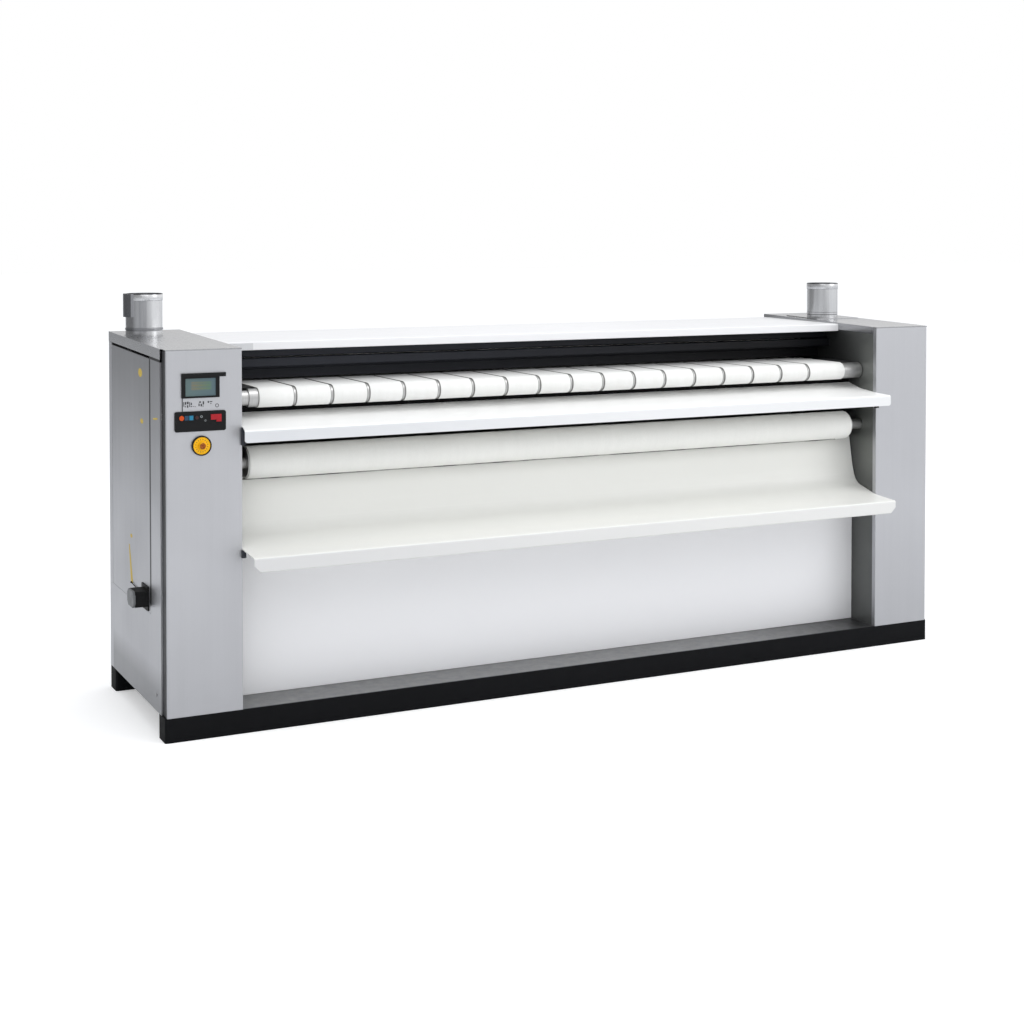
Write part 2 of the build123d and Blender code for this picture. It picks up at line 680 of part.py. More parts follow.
def finger_guard():
    """Pivot rod with the hanging blade that trips the stop."""
    x0 = WALL_FACE + GUARD_END_GAP
    x1 = RIGHT_WALL_FACE - GUARD_END_GAP
    low = BAND_TOP + GUARD_OVER_BANDS
    blade = block(x0, x1, GUARD_Y - GUARD_T / 2, GUARD_Y + GUARD_T / 2, low, GUARD_Z)
    guard = rod(GUARD_Y, GUARD_Z, GUARD_ROD_R, x0, x1) + blade
    return guard + rod(GUARD_Y, GUARD_Z, GUARD_PIVOT_R, WALL_BACK, RIGHT_WALL_FACE + WALL)


def rear_panel_spans():
    """Left and right edge of every rear panel between the walls."""
    x0 = WALL_FACE + JOINT
    width = (RIGHT_WALL_FACE - JOINT - x0) / REAR_PANELS
    return [(x0 + i * width, x0 + (i + 1) * width - JOINT) for i in range(REAR_PANELS)]


def rear_panel(x0, x1):
    """Lift-out rear panel with louvres, in front of the hood's rear lip."""
    top = HOOD_Z_REAR - HOOD_LIP + SHEET
    panel = block(x0, x1, REAR_PANEL_Y - SHEET, REAR_PANEL_Y, RAIL_H, top)
    for z in (RAIL_H + LOUVRE_LOW, ROOF_FRONT - LOUVRE_HIGH):
        for slot in louvres((x0 + x1) / 2, REAR_PANEL_Y, z):
            panel -= slot
    return panel


def lower_front_panel():
    """Plain panel under the tray with folded top and bottom edges."""
    z = RAIL_H + SHEET
    back = PANEL_Y + PANEL_RETURN
    outline = [(back, z), (PANEL_Y, z), (PANEL_Y, PANEL_TOP), (back, PANEL_TOP)]
    return across(folded(outline, BEND / 2, SHEET, Side.RIGHT), WALL_FACE + JOINT, RIGHT_WALL_FACE - JOINT)


def shelf_section():
    """Concave section of the entry shelf with its folded front lip."""
    outline = [
        (SHELF_REAR_Y, SHELF_REAR_Z),
        (SHELF_KNEE_Y, SHELF_KNEE_Z),
        (SHELF_CREASE_Y, SHELF_CREASE_Z),
        (-SHELF_PROUD, SHELF_LIP_Z),
        (-SHELF_PROUD, SHELF_LIP_Z - SHELF_LIP_H),
    ]
    return folded(outline, [SHELF_KNEE_R, SHELF_CREASE_R, SHELF_LIP_R], SHELF_T)


def entry_shelf():
    """Shelf before the feed bands; it widens past the opening towards its rounded lip."""
    left, right = HOUSING_W, WIDTH - HOUSING_W
    far = -2 * SHELF_PROUD
    plan = [
        (left + JOINT, -SHELF_FACE_GAP),
        (left - SHELF_OVERHANG, -SHELF_PROUD),
        (left - SHELF_OVERHANG, far),
        (right + SHELF_OVERHANG, far),
        (right + SHELF_OVERHANG, -SHELF_PROUD),
        (right - JOINT, -SHELF_FACE_GAP),
    ]
    x0, x1 = left - SHELF_OVERHANG, right + SHELF_OVERHANG
    low = SHELF_LIP_Z - SHELF_LIP_H
    outline = block(x0, x1, far, 0, low, ROOF_FRONT)
    outline = fillet(outline.edges().filter_by(Axis.Y).sort_by(Axis.Z)[:2], SHELF_CORNER_R)
    outline &= upright(make_face(Polyline(*plan, close=True)), 0, ROOF_FRONT)
    return across(shelf_section(), left, right) + (across(shelf_section(), x0, x1) & outline)


def tray_section():
    """Section of the collecting tray with its folded front lip."""
    low = TRAY_LIP_Z - TRAY_LIP_H
    outline = [
        (TRAY_TOP_Y, TRAY_TOP_Z),
        (TRAY_BACK_Y, TRAY_BACK_Z),
        (TRAY_FOOT_Y, TRAY_FOOT_Z),
        (0, TRAY_FLOOR_Z),
        (-TRAY_PROUD, TRAY_LIP_Z),
        (-TRAY_PROUD, low),
        (TRAY_RETURN - TRAY_PROUD, low),
    ]
    radii = [TRAY_BACK_R, TRAY_FOOT_R, TRAY_FLOOR_R, TRAY_LIP_R, BEND]
    return folded(outline, radii, TRAY_T)


def collecting_tray():
    """Deep curved tray that takes up the ironed linen; the lip's lower corners are cut off."""
    x0, x1 = WALL_FACE + TRAY_GAP, RIGHT_WALL_FACE - TRAY_GAP
    tray = across(tray_section(), x0, x1)
    side = TRAY_CUT * math.sqrt(2)
    for x in (x0, x1):
        corner = Rot(0, 45, 0) * Box(side, 2 * TRAY_PROUD, side)
        tray -= Pos(x, -TRAY_PROUD, TRAY_LIP_Z - TRAY_LIP_H) * corner
    return tray


def end_bracket(section, top, height):
    """Tab on the front cover whose upper face fits under a bent sheet."""
    x0 = HOUSING_W - TAB_OVER
    tab = block(x0, x0 + TAB_W, -TAB_D, 0, top - height, top + height)
    return (tab - across(section, 0, WIDTH)).solids().sort_by(Axis.Z)[0]


# ------------------------------------------------------------------ exhaust
def duct(x, y, bead):
    """Open exhaust spigot that passes through the roof, with a rolled bead near its foot."""
    low = roof(y) - DUCT_BELOW
    tube = post(x, y, DUCT_R, low, DUCT_TOP)
    if bead:
        tube += post(x, y, DUCT_R + BEAD_R, roof(y) + BEAD_UP, roof(y) + BEAD_UP + 2 * BEAD_R)
    return tube - post(x, y, DUCT_R - DUCT_T, low - 1, DUCT_TOP + 1)


def seam_strip(x, y):
    """Lapped seam on the outer side of the left spigot."""
    low = DUCT_TOP - SEAM_H
    ring = post(x, y, DUCT_R + SEAM_T, low, DUCT_TOP) - post(x, y, DUCT_R, low - 1, DUCT_TOP + 1)
    return ring & block(x - 2 * DUCT_R, x, y - SEAM_ARC, y + SEAM_ARC, low, DUCT_TOP)


def roof_port(cover, x, y):
    """Roof cover with the hole for its spigot."""
    return cover - post(x, y, DUCT_R + CLEAR, roof(y) - 3 * SHEET, roof(y) + 3 * SHEET)


def flange_plate(x, y):
    """Square plate on the roof round the right spigot."""
    half = FLANGE_SIDE / 2
    plate = block(x - half, x + half, y - half, y + half, roof(-DEPTH), roof(2 * DEPTH))
    plate = below_roof(plate, -FLANGE_T) - below_roof(plate, 0)
    return plate - post(x, y, DUCT_R + CLEAR, roof(-DEPTH), roof(2 * DEPTH))


def exhaust_fan(x, y, motor_end):
    """Scroll fan under a spigot, with its motor on the side of the machine's middle."""
    inward = 1 if motor_end > x else -1
    top = roof(y) - DUCT_BELOW
    cy = y - (FAN_R + 3 * FAN_STEP) / 2
    cz = top - FAN_NECK - FAN_DROP
    y1 = cy + FAN_R + 3 * FAN_STEP
    start = (cy, cz + FAN_R)
    edges = []
    centre = (cy, cz)
    for i, turn in enumerate((90, 180, 270)):
        r = FAN_R + i * FAN_STEP
        ends = []
        for angle in (turn, turn + 45, turn + 90):
            a = math.radians(angle)
            ends.append((centre[0] + r * math.cos(a), centre[1] + r * math.sin(a)))
        edges.append(ThreePointArc(*ends).edge())
        centre = (centre[0] - FAN_STEP * math.cos(a), centre[1] - FAN_STEP * math.sin(a))
    neck_z = top - FAN_NECK
    edges += Polyline(ends[2], (y1, neck_z), (cy, neck_z), start).edges()
    casing = across(make_face(edges), x - FAN_W / 2, x + FAN_W / 2)
    square = Pos(x, y, neck_z) * Rectangle(FAN_W, FAN_R + 3 * FAN_STEP)
    casing += loft([square, Pos(x, y, top) * Circle(DUCT_R)])
    casing -= post(x, y, DUCT_R - DUCT_T - FAN_WELL_STEP, top - FAN_WELL, top + 1)
    face = x - inward * FAN_W / 2
    rim = face - inward * FAN_INLET_RIM
    deep = face + inward * FAN_INLET_DEPTH
    casing += rod(cy, cz, FAN_INLET_R + FAN_INLET_RIM, min(face, rim), max(face, rim))
    casing -= rod(cy, cz, FAN_INLET_R, min(rim, deep) - 1, max(rim, deep))
    side = x + inward * FAN_W / 2
    return casing + rod(cy, cz, FAN_MOTOR_R, min(side, motor_end), max(side, motor_end))


# ------------------------------------------------------------------ drive
def pulley(y, z, r):
    """Flanged belt pulley without its bore."""
    wheel = rod(y, z, r, PULLEY_X0, PULLEY_X1)
    for x in (PULLEY_X0, PULLEY_X1 - PULLEY_FLANGE):
        wheel += rod(y, z, r + DRIVE_BELT_T, x, x + PULLEY_FLANGE)
    return wheel


def cylinder_pulley():
    """Large dished pulley with round windows in its web, on the cylinder's left journal."""
    y, z = CYLINDER_Y, CYLINDER_Z
    wheel = pulley(y, z, CYLINDER_PULLEY_R)
    hub = CYLINDER_JOURNAL_R + PULLEY_HUB
    rim = CYLINDER_PULLEY_R - PULLEY_RIM
    dish = PULLEY_X1 - PULLEY_WEB
    wheel -= rod(y, z, rim, PULLEY_X0 - 1, dish) - rod(y, z, hub, PULLEY_X0 - 1, dish)
    reach = (hub + rim) / 2
    for i in range(PULLEY_WINDOWS):
        turn = 2 * math.pi * i / PULLEY_WINDOWS
        window_y = y + reach * math.cos(turn)
        window_z = z + reach * math.sin(turn)
        wheel -= rod(window_y, window_z, (rim - hub) / 3, PULLEY_X0 - 1, PULLEY_X1 + 1)
    return wheel - rod(y, z, CYLINDER_JOURNAL_R + RUN, PULLEY_X0 - 1, PULLEY_X1 + 1)


def motor_pulley():
    """Small pulley in one piece with the gearbox's output shaft."""
    shaft = rod(MOTOR_Y, MOTOR_Z, MOTOR_SHAFT_R, GEARBOX_X + JOURNAL_END, PULLEY_X1)
    return pulley(MOTOR_Y, MOTOR_Z, MOTOR_PULLEY_R) + shaft


def gearmotor():
    """Right-angle gearbox on its stand, and behind it a motor with fins along its body."""
    x0 = GEARBOX_X - GEARBOX_W / 2
    x1 = GEARBOX_X + GEARBOX_W / 2
    y0 = MOTOR_Y - GEARBOX_L / 2
    y1 = MOTOR_Y + GEARBOX_L / 2
    z0 = MOTOR_Z - GEARBOX_H / 2
    motor = chamfer(block(x0, x1, y0, y1, z0, MOTOR_Z + GEARBOX_H / 2).edges(), GEARBOX_EDGE)
    motor += rod(MOTOR_Y, MOTOR_Z, 2 * MOTOR_SHAFT_R, x1 - 1, x1 + GEARBOX_BOSS)
    motor += stud(GEARBOX_X, MOTOR_Z, MOTOR_R - FIN_DEPTH, y1 - 1, y1 + MOTOR_L)
    cover_y = y1 + MOTOR_L - FAN_COVER_L
    fins = Pos(GEARBOX_X, (y1 - 1 + cover_y) / 2, MOTOR_Z) * Box(2 * MOTOR_R, cover_y - y1 + 1, FIN_T)
    for i in range(MOTOR_FINS):
        turn = Axis((GEARBOX_X, 0, MOTOR_Z), (0, 1, 0))
        motor += fins.rotate(turn, 180 * i / MOTOR_FINS)
    motor += stud(GEARBOX_X, MOTOR_Z, MOTOR_R, cover_y, y1 + MOTOR_L)
    foot = RAIL_H + FLOOR_T
    for z in (foot, z0 - STAND_T):
        motor += block(x0, x1, y0, y1, z, z + STAND_T)
    for y in (y0, y1 - STAND_T):
        motor += block(x0, x1, y, y + STAND_T, foot, z0)
    return motor - rod(MOTOR_Y, MOTOR_Z, MOTOR_SHAFT_R + RUN, GEARBOX_X, x1 + GEARBOX_BOSS + 1)


def bearings(journals):
    """Square flange bearings on the housing side of the wall, one for each journal."""
    rings = []
    for y, z, r in journals:
        half = r + BEARING_RIM
        ring = block(WALL_BACK - BEARING_FLANGE, WALL_BACK, y - half, y + half, z - half, z + half)
        boss = Pos(y, z) * RegularPolygon(r + BEARING_RING, 8)
        ring += across(boss, WALL_BACK - BEARING_T, WALL_BACK)
        rings.append(ring - rod(y, z, r + RUN, WALL_BACK - BEARING_T - 1, WALL_BACK + 1))
    return rings


def electrical_plate():
    """Mounting plate on stand-offs with a rail of contactors over a row of terminals."""
    x1 = WALL_BACK - PLATE_STANDOFF
    x0 = x1 - PLATE_T
    y0, y1 = PLATE_FRONT, PLATE_FRONT + PLATE_L
    z0, z1 = PLATE_LOW, PLATE_LOW + PLATE_H
    plate = block(x0, x1, y0, y1, z0, z1)
    for y in (y0 + STANDOFF_INSET, y1 - STANDOFF_INSET):
        for z in (z0 + STANDOFF_INSET, z1 - STANDOFF_INSET):
            plate += rod(y, z, STANDOFF_R, x1, WALL_BACK)
    rail_z = z1 - CONTACTOR_H
    plate += block(x0 - DIN_T, x0, y0, y1, rail_z - DIN_H / 2, rail_z + DIN_H / 2)
    low = rail_z - CONTACTOR_H / 2
    for i in range(CONTACTORS):
        y = y0 + STANDOFF_INSET + i * (CONTACTOR_W + CONTACTOR_GAP)
        plate += block(x0 - CONTACTOR_D, x0 - DIN_T, y, y + CONTACTOR_W, low, low + CONTACTOR_H)
    low = z0 + STANDOFF_INSET
    plate += block(x0 - TERMINAL_D, x0, y0 + STANDOFF_INSET, y1 - STANDOFF_INSET, low, low + TERMINAL_H)
    return plate


def cable_gland():
    """Gland of the mains inlet, screwed through the left floor plate."""
    low = RAIL_H - GLAND_BELOW
    gland = post(GLAND_X, GLAND_Y, GLAND_R, low, RAIL_H + FLOOR_T + GLAND_NUT_H)
    nut = RegularPolygon(GLAND_NUT, 6)
    for z in (RAIL_H - GLAND_NUT_H, RAIL_H + FLOOR_T):
        gland += upright(Pos(GLAND_X, GLAND_Y) * nut, z, z + GLAND_NUT_H)
    return gland - post(GLAND_X, GLAND_Y, GLAND_CABLE_R, low - 1, RAIL_H + FLOOR_T + GLAND_NUT_H + 1)


# ------------------------------------------------------------------ controls
def bezel():
    """Display frame with the long dark brow above it and the thin rib at its lower left."""
    frame = block(BEZEL_LEFT, BEZEL_LEFT + BEZEL_W, -BEZEL_T, 0, BEZEL_Z, BEZEL_Z + BEZEL_H)
    frame = fillet(frame.edges().filter_by(Axis.Y), BEND / 2)
    brow_z = BEZEL_Z + BEZEL_H - BROW_H
    frame += block(BEZEL_LEFT, BEZEL_LEFT + BROW_W, -BEZEL_T - BROW_PROUD, 0, brow_z, brow_z + BROW_H)
    x0, x1, z0, z1 = screen_window()
    frame -= block(x0, x1, -2 * BEZEL_T, 1, z0, z1)
    rib_x = BEZEL_LEFT + RIB_IN
    return frame + block(rib_x, rib_x + RIB_T, -RIB_T, 0, KEYPAD_Z + KEYPAD_H + JOINT, BEZEL_Z + RIB_T)


def screen_window():
    """Window of the display frame."""
    x0 = BEZEL_LEFT + BEZEL_FRAME
    x1 = BEZEL_LEFT + BEZEL_W - BEZEL_FRAME
    return x0, x1, BEZEL_Z + BEZEL_FOOT, BEZEL_Z + BEZEL_H - BROW_H - BROW_GAP


def key_block(x, w, h, z, grow):
    """Square-cornered key, or its hole when grown."""
    half_w = w / 2 + grow
    half_h = h / 2 + grow
    return block(x - half_w, x + half_w, -KEYPAD_T - KEY_PROUD, -KEY_BACK, z - half_h, z + half_h)


def key_round(x, r, grow):
    """Round key, or its hole when grown."""
    return stud(x, KEY_Z, r + grow, -KEYPAD_T - KEY_PROUD, -KEY_BACK)


def red_key(grow):
    """Stepped red key."""
    lower_x = RED_X + (RED_KEY_W - RED_KEY_LOWER_W) / 2
    lower_z = KEY_Z - (RED_KEY_H + RED_KEY_LOWER_H) / 2
    key = key_block(RED_X, RED_KEY_W, RED_KEY_H, KEY_Z, grow)
    return key + key_block(lower_x, RED_KEY_LOWER_W, RED_KEY_LOWER_H, lower_z, grow)


def keys(grow):
    """All keys by name."""
    return {
        "orange_key": key_round(ORANGE_X, ROUND_KEY_R, grow),
        "left_blue_key": key_block(LEFT_BLUE_X, BLUE_KEY_W, BLUE_KEY_H, KEY_Z, grow),
        "right_blue_key": key_block(RIGHT_BLUE_X, BLUE_KEY_W, BLUE_KEY_H, KEY_Z, grow),
        "brown_key": key_round(BROWN_X, SMALL_KEY_R, grow),
        "red_key": red_key(grow),
    }


def keypad_plate():
    """Keypad with one hole per key."""
    x = KEYPAD_LEFT + KEYPAD_W / 2
    z = KEYPAD_Z + KEYPAD_H / 2
    plate = block(KEYPAD_LEFT, KEYPAD_LEFT + KEYPAD_W, -KEYPAD_T, 0, KEYPAD_Z, KEYPAD_Z + KEYPAD_H)
    plate = fillet(plate.edges().filter_by(Axis.Y), KEYPAD_R)
    for hole in keys(CLEAR).values():
        plate -= hole
        plate -= Pos(0, KEY_BACK + 1, 0) * hole
    return plate


def estop_rim():
    """Black collar round the yellow disc."""
    ring = stud(ESTOP_X, ESTOP_Z, ESTOP_R + ESTOP_RIM, -ESTOP_T - ESTOP_RIM_PROUD, 0)
    return ring - stud(ESTOP_X, ESTOP_Z, ESTOP_R, -2 * ESTOP_T, 1)


def estop_disc():
    """Yellow disc, bored for the button's stem."""
    disc = stud(ESTOP_X, ESTOP_Z, ESTOP_R - RUN, -ESTOP_T, 0)
    return disc - stud(ESTOP_X, ESTOP_Z, ESTOP_STEM_R + RUN, -2 * ESTOP_T, 1)


def estop_button():
    """Mushroom button on its stem, drawn released."""
    back = -ESTOP_T - ESTOP_TRAVEL - ESTOP_SPARE
    head = stud(ESTOP_X, ESTOP_Z, ESTOP_BUTTON_R, back - ESTOP_BUTTON_H, back)
    head = chamfer(head.edges().filter_by(GeomType.CIRCLE).sort_by(Axis.Y)[0], ESTOP_BUTTON_EDGE)
    return head + stud(ESTOP_X, ESTOP_Z, ESTOP_STEM_R, back - 1, -ESTOP_TRAVEL - ESTOP_SPARE)


def switch_block(depth, height, x0, x1):
    """Block centred on the switch's axis."""
    y, z = SWITCH_Y, SWITCH_Z
    return block(x0, x1, y - depth / 2, y + depth / 2, z - height / 2, z + height / 2)


def switch_base():
    """Square plate and body of the main switch, bored for the handle's hub."""
    face = -SWITCH_PLATE_T
    front = face - SWITCH_BODY_X
    plate = switch_block(SWITCH_PLATE_D, SWITCH_PLATE_H, face, 0)
    base = fillet(plate.edges().filter_by(Axis.X), SWITCH_R)
    body = switch_block(SWITCH_BODY_D, SWITCH_BODY_H, front, face)
    base += fillet(body.edges().filter_by(Axis.X), SWITCH_R)
    return base - rod(SWITCH_Y, SWITCH_Z, SWITCH_HUB_R + RUN, front - 1, front + SWITCH_BORE)


def switch_handle():
    """Wide turning handle with cut corners and its hub."""
    back = -SWITCH_PLATE_T - SWITCH_BODY_X - SWITCH_PLAY
    handle = switch_block(SWITCH_HANDLE_D, SWITCH_HANDLE_H, back - SWITCH_HANDLE_X, back)
    handle = chamfer(handle.edges().filter_by(Axis.X), SWITCH_HANDLE_CUT)
    return handle + rod(SWITCH_Y, SWITCH_Z, SWITCH_HUB_R, back - 1, back + SWITCH_PLAY + SWITCH_HUB_IN)


# ------------------------------------------------------------------ fasteners
def screw_head(x, y, z, height):
    """Hexagon head that points to the back."""
    return extrude(Plane((x, y, z), x_dir=(1, 0, 0), z_dir=(0, 1, 0)) * RegularPolygon(SCREW_R, 6), height)


def cover_screws():
    """Hexagon heads on the side sheets and the rear covers."""
    side = across(Pos(SIDE_SCREW_Y, SIDE_SCREW_Z) * RegularPolygon(SCREW_R, 6), -SCREW_H, 0)
    screws = [side, to_right(side)]
    low = RAIL_H + SCREW_INSET
    y = DEPTH - SHEET
    for x in (SCREW_INSET, WALL_BACK - SCREW_INSET):
        for z in (low, ROOF_REAR - REAR_LIP - SCREW_INSET):
            head = screw_head(x, y, z, SHEET)
            screws += [head, to_right(head)]
    for x0, x1 in rear_panel_spans():
        for x in (x0 + SCREW_INSET, x1 - SCREW_INSET):
            for z in (low, HOOD_Z_REAR - HOOD_LIP - SCREW_INSET):
                screws.append(screw_head(x, REAR_PANEL_Y, z, SCREW_H))
    return screws


# ------------------------------------------------------------------ build
os.makedirs("parts", exist_ok=True)

# (depth, height, roller radius, journal radius) of everything that turns between the walls
TURNING = {
    "ironing_cylinder": (CYLINDER_Y, CYLINDER_Z, CYLINDER_R, CYLINDER_JOURNAL_R),
    "return_roller": (RETURN_Y, RETURN_Z, RETURN_R, RETURN_JOURNAL_R),
    "lower_belt_roller": (BELT_ROLLER_Y, LOWER_BELT_Z, BELT_ROLLER_R, BELT_JOURNAL_R),
    "upper_belt_roller": (BELT_ROLLER_Y, UPPER_BELT_Z, BELT_ROLLER_R, BELT_JOURNAL_R),
    "nip_roller": (NIP_Y, NIP_Z, BELT_ROLLER_R, BELT_JOURNAL_R),
    "front_feed_roller": (FEED_Y, FEED_Z, FEED_R, FEED_JOURNAL_R),
    "rear_feed_roller": (REAR_FEED_Y, REAR_FEED_Z, REAR_FEED_R, BELT_JOURNAL_R),
}
journals = [(y, z, j) for y, z, r, j in TURNING.values()]
ports = [(y, z, j + WALL_HOLE) for y, z, j in journals] + [(GUARD_Y, GUARD_Z, GUARD_PIVOT_R + RUN)]

save("front_base_rail", base_rail(0))
save("rear_base_rail", base_rail(DEPTH - RAIL_D))
step_rear = PANEL_Y + PANEL_RETURN
save("base_step_plate", block(HOUSING_W, WIDTH - HOUSING_W, SHEET, step_rear, RAIL_H, RAIL_H + SHEET))
floor = floor_plate()
inlet = post(GLAND_X, GLAND_Y, GLAND_R + RUN, RAIL_H - 1, RAIL_H + FLOOR_T + 1)
save("floor_plates", Compound([floor - inlet, to_right(floor)]))
save("cable_gland", cable_gland())

wall = inner_wall(ports)
save("left_inner_wall", wall)
save("right_inner_wall", to_right(wall))
save("left_front_cover", front_cover())
save("right_front_cover", to_right(front_cover()))
roof_cover = top_cover()
save("left_top_cover", roof_port(roof_cover, LEFT_DUCT_X, LEFT_DUCT_Y))
save("right_top_cover", roof_port(to_right(roof_cover), RIGHT_DUCT_X, RIGHT_DUCT_Y))
save("left_side_panel", side_panel() - door_opening())
save("right_side_panel", to_right(side_panel()))
save("left_side_door", side_door())
rear_sheet = back_cover()
hinged = rear_sheet
for piece in hinge_brackets():
    hinged += piece
save("left_back_cover", hinged)
save("right_back_cover", to_right(rear_sheet))

save("hood_cover", hood_cover())
x0 = HOUSING_W + HOOD_GAP
y0 = HOOD_FRONT - JOINT_PLATE_T
z0 = HOOD_Z_FRONT - HOOD_LIP + JOINT
save("hood_joint_plate", block(x0, x0 + JOINT_PLATE_W, y0, HOOD_FRONT, z0, HOOD_Z_FRONT - BEND))
save("upper_beam", upper_beam())
save("guard_beam", guard_beam())
save("finger_guard", finger_guard())
save("rear_cover", Compound([rear_panel(a, b) for a, b in rear_panel_spans()]))
save("lower_front_panel", lower_front_panel())
save("entry_shelf", entry_shelf())
save("collecting_tray", collecting_tray())
shelf_tab = end_bracket(shelf_section(), SHELF_CREASE_Z, SHELF_TAB_H)
tray_tab = end_bracket(tray_section(), TRAY_FLOOR_Z, TRAY_TAB_H)
save("end_brackets", Compound([shelf_tab, tray_tab, to_right(shelf_tab), to_right(tray_tab)]))

for name, (y, z, r, j) in TURNING.items():
    x0, x1 = WALL_FACE + ROLLER_END_GAP, RIGHT_WALL_FACE - ROLLER_END_GAP
    shell = ROLLER_SHELL
    left_end = WALL_BACK - BEARING_T - JOURNAL_END
    if name == "ironing_cylinder":
        x0, x1 = WALL_FACE + CYLINDER_END_GAP, RIGHT_WALL_FACE - CYLINDER_END_GAP
        shell = CYLINDER_SHELL
        left_end = PULLEY_X0 - JOURNAL_END
    if name == "return_roller":
        x0, x1 = BELT_LEFT - RETURN_OVER, BELT_RIGHT + RETURN_OVER
    if name == "front_feed_roller":
        x0, x1 = WALL_FACE + FEED_LEFT_GAP, RIGHT_WALL_FACE - FEED_RIGHT_GAP
    right_end = WIDTH - WALL_BACK + BEARING_T + JOURNAL_END
    save(name, roller(y, z, r, j, x0, x1, shell, left_end, right_end))
rings = bearings(journals)
save("roller_bearings", Compound(rings + [to_right(ring) for ring in rings]))

front_wheel = (FEED_Y, FEED_Z, FEED_R, True)
rear_wheel = (REAR_FEED_Y, REAR_FEED_Z, REAR_FEED_R, True)
band_face = belt([front_wheel, rear_wheel], BAND_T)
bands = []
for i in range(BAND_COUNT):
    x0 = BAND_LEFT + i * BAND_PITCH
    x1 = BAND_RIGHT if i == BAND_COUNT - 1 else x0 + BAND_PITCH - BAND_GAP
    bands.append(across(band_face, x0, x1))
save("feed_bands", Compound(bands))
bed_z = BAND_TOP - BAND_T - CLEAR
y0 = FEED_Y + FEED_R + BED_MARGIN
y1 = REAR_FEED_Y - REAR_FEED_R - BED_MARGIN
save("feed_bed", block(WALL_FACE, RIGHT_WALL_FACE, y0, y1, bed_z - BED_T, bed_z))

wheels = [
    (RETURN_Y, RETURN_Z, RETURN_R, True),
    (BELT_ROLLER_Y, LOWER_BELT_Z, BELT_ROLLER_R, True),
    (BELT_ROLLER_Y, UPPER_BELT_Z, BELT_ROLLER_R, True),
    (NIP_Y, NIP_Z, BELT_ROLLER_R, True),
    (CYLINDER_Y, CYLINDER_Z, CYLINDER_R, False),
]
save("ironing_belt", across(belt(wheels, BELT_T), BELT_LEFT, BELT_RIGHT))

wheels = [
    (MOTOR_Y, MOTOR_Z, MOTOR_PULLEY_R, True),
    (CYLINDER_Y, CYLINDER_Z, CYLINDER_PULLEY_R, True),
]
x0 = PULLEY_X0 + PULLEY_FLANGE + CLEAR
x1 = PULLEY_X1 - PULLEY_FLANGE - CLEAR
save("drive_belt", across(belt(wheels, DRIVE_BELT_T), x0, x1))
save("cylinder_pulley", cylinder_pulley())
save("motor_pulley", motor_pulley())
save("gearmotor", gearmotor())
save("electrical_plate", electrical_plate())

save("left_exhaust_duct", duct(LEFT_DUCT_X, LEFT_DUCT_Y, True) + seam_strip(LEFT_DUCT_X, LEFT_DUCT_Y))
save("right_exhaust_duct", duct(RIGHT_DUCT_X, RIGHT_DUCT_Y, False))
save("duct_flange_plate", flange_plate(RIGHT_DUCT_X, RIGHT_DUCT_Y))
left_fan = exhaust_fan(LEFT_DUCT_X, LEFT_DUCT_Y, PULLEY_X0 - FAN_MOTOR_GAP)
right_fan = exhaust_fan(RIGHT_DUCT_X, RIGHT_DUCT_Y, WIDTH - WALL_BACK + BEARING_T + FAN_MOTOR_GAP)
save("exhaust_fans", Compound([left_fan, right_fan]))

save("display_bezel", bezel())
x0, x1, z0, z1 = screen_window()
save("display_screen", block(x0 + RUN, x1 - RUN, -SCREEN_T, 0, z0 + RUN, z1 - RUN))
save("keypad_plate", keypad_plate())
for name, key in keys(0).items():
    save(name, key)
save("estop_rim", estop_rim())
save("estop_disc", estop_disc())
save("estop_button", estop_button())
save("main_switch_base", switch_base())
save("main_switch_handle", switch_handle())
save("cover_screws", Compound(cover_screws()))
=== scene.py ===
import math
import random

import bmesh
import bpy
from mathutils import Matrix, Vector


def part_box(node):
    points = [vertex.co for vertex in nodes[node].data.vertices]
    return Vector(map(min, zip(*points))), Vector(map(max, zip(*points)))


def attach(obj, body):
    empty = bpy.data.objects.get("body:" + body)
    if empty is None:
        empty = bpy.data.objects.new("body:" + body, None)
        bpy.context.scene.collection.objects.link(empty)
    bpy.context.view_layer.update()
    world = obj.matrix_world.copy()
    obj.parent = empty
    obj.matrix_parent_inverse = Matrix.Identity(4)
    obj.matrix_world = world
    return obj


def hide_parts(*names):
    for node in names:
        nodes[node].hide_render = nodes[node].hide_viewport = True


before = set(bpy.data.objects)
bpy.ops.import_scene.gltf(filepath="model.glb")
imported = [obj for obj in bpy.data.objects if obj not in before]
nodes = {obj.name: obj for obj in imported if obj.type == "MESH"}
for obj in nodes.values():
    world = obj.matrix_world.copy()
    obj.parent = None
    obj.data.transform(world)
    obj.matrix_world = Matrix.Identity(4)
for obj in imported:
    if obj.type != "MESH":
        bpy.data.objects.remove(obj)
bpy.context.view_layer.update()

# ---------------------------------------------------------------- studio
# The machine stands on a plain pale floor before white, under broad soft lamps. The camera stands
# low at its left front, as the photographer did, with the lens raised instead of tipped.
EYE = (-2.95905, -5.71360, 1.6908)
YAW = 0.4596
PITCH = math.radians(1.5)
FOCAL_PX = 1664.8  # focal length in pixels of a 1024 pixel frame
HORIZON_PX = 274.5

scene = bpy.context.scene
scene.view_settings.view_transform = "Standard"
lens = bpy.data.cameras.new("camera")
lens.sensor_width = 36.0
lens.lens = 36.0 * FOCAL_PX / 1024
lens.shift_y = (HORIZON_PX - 512) / 1024
lens.clip_end = 200.0
camera = bpy.data.objects.new("camera", lens)
camera.location = EYE
camera.rotation_euler = (math.pi / 2 - PITCH, 0, -YAW)
scene.collection.objects.link(camera)
scene.camera = camera


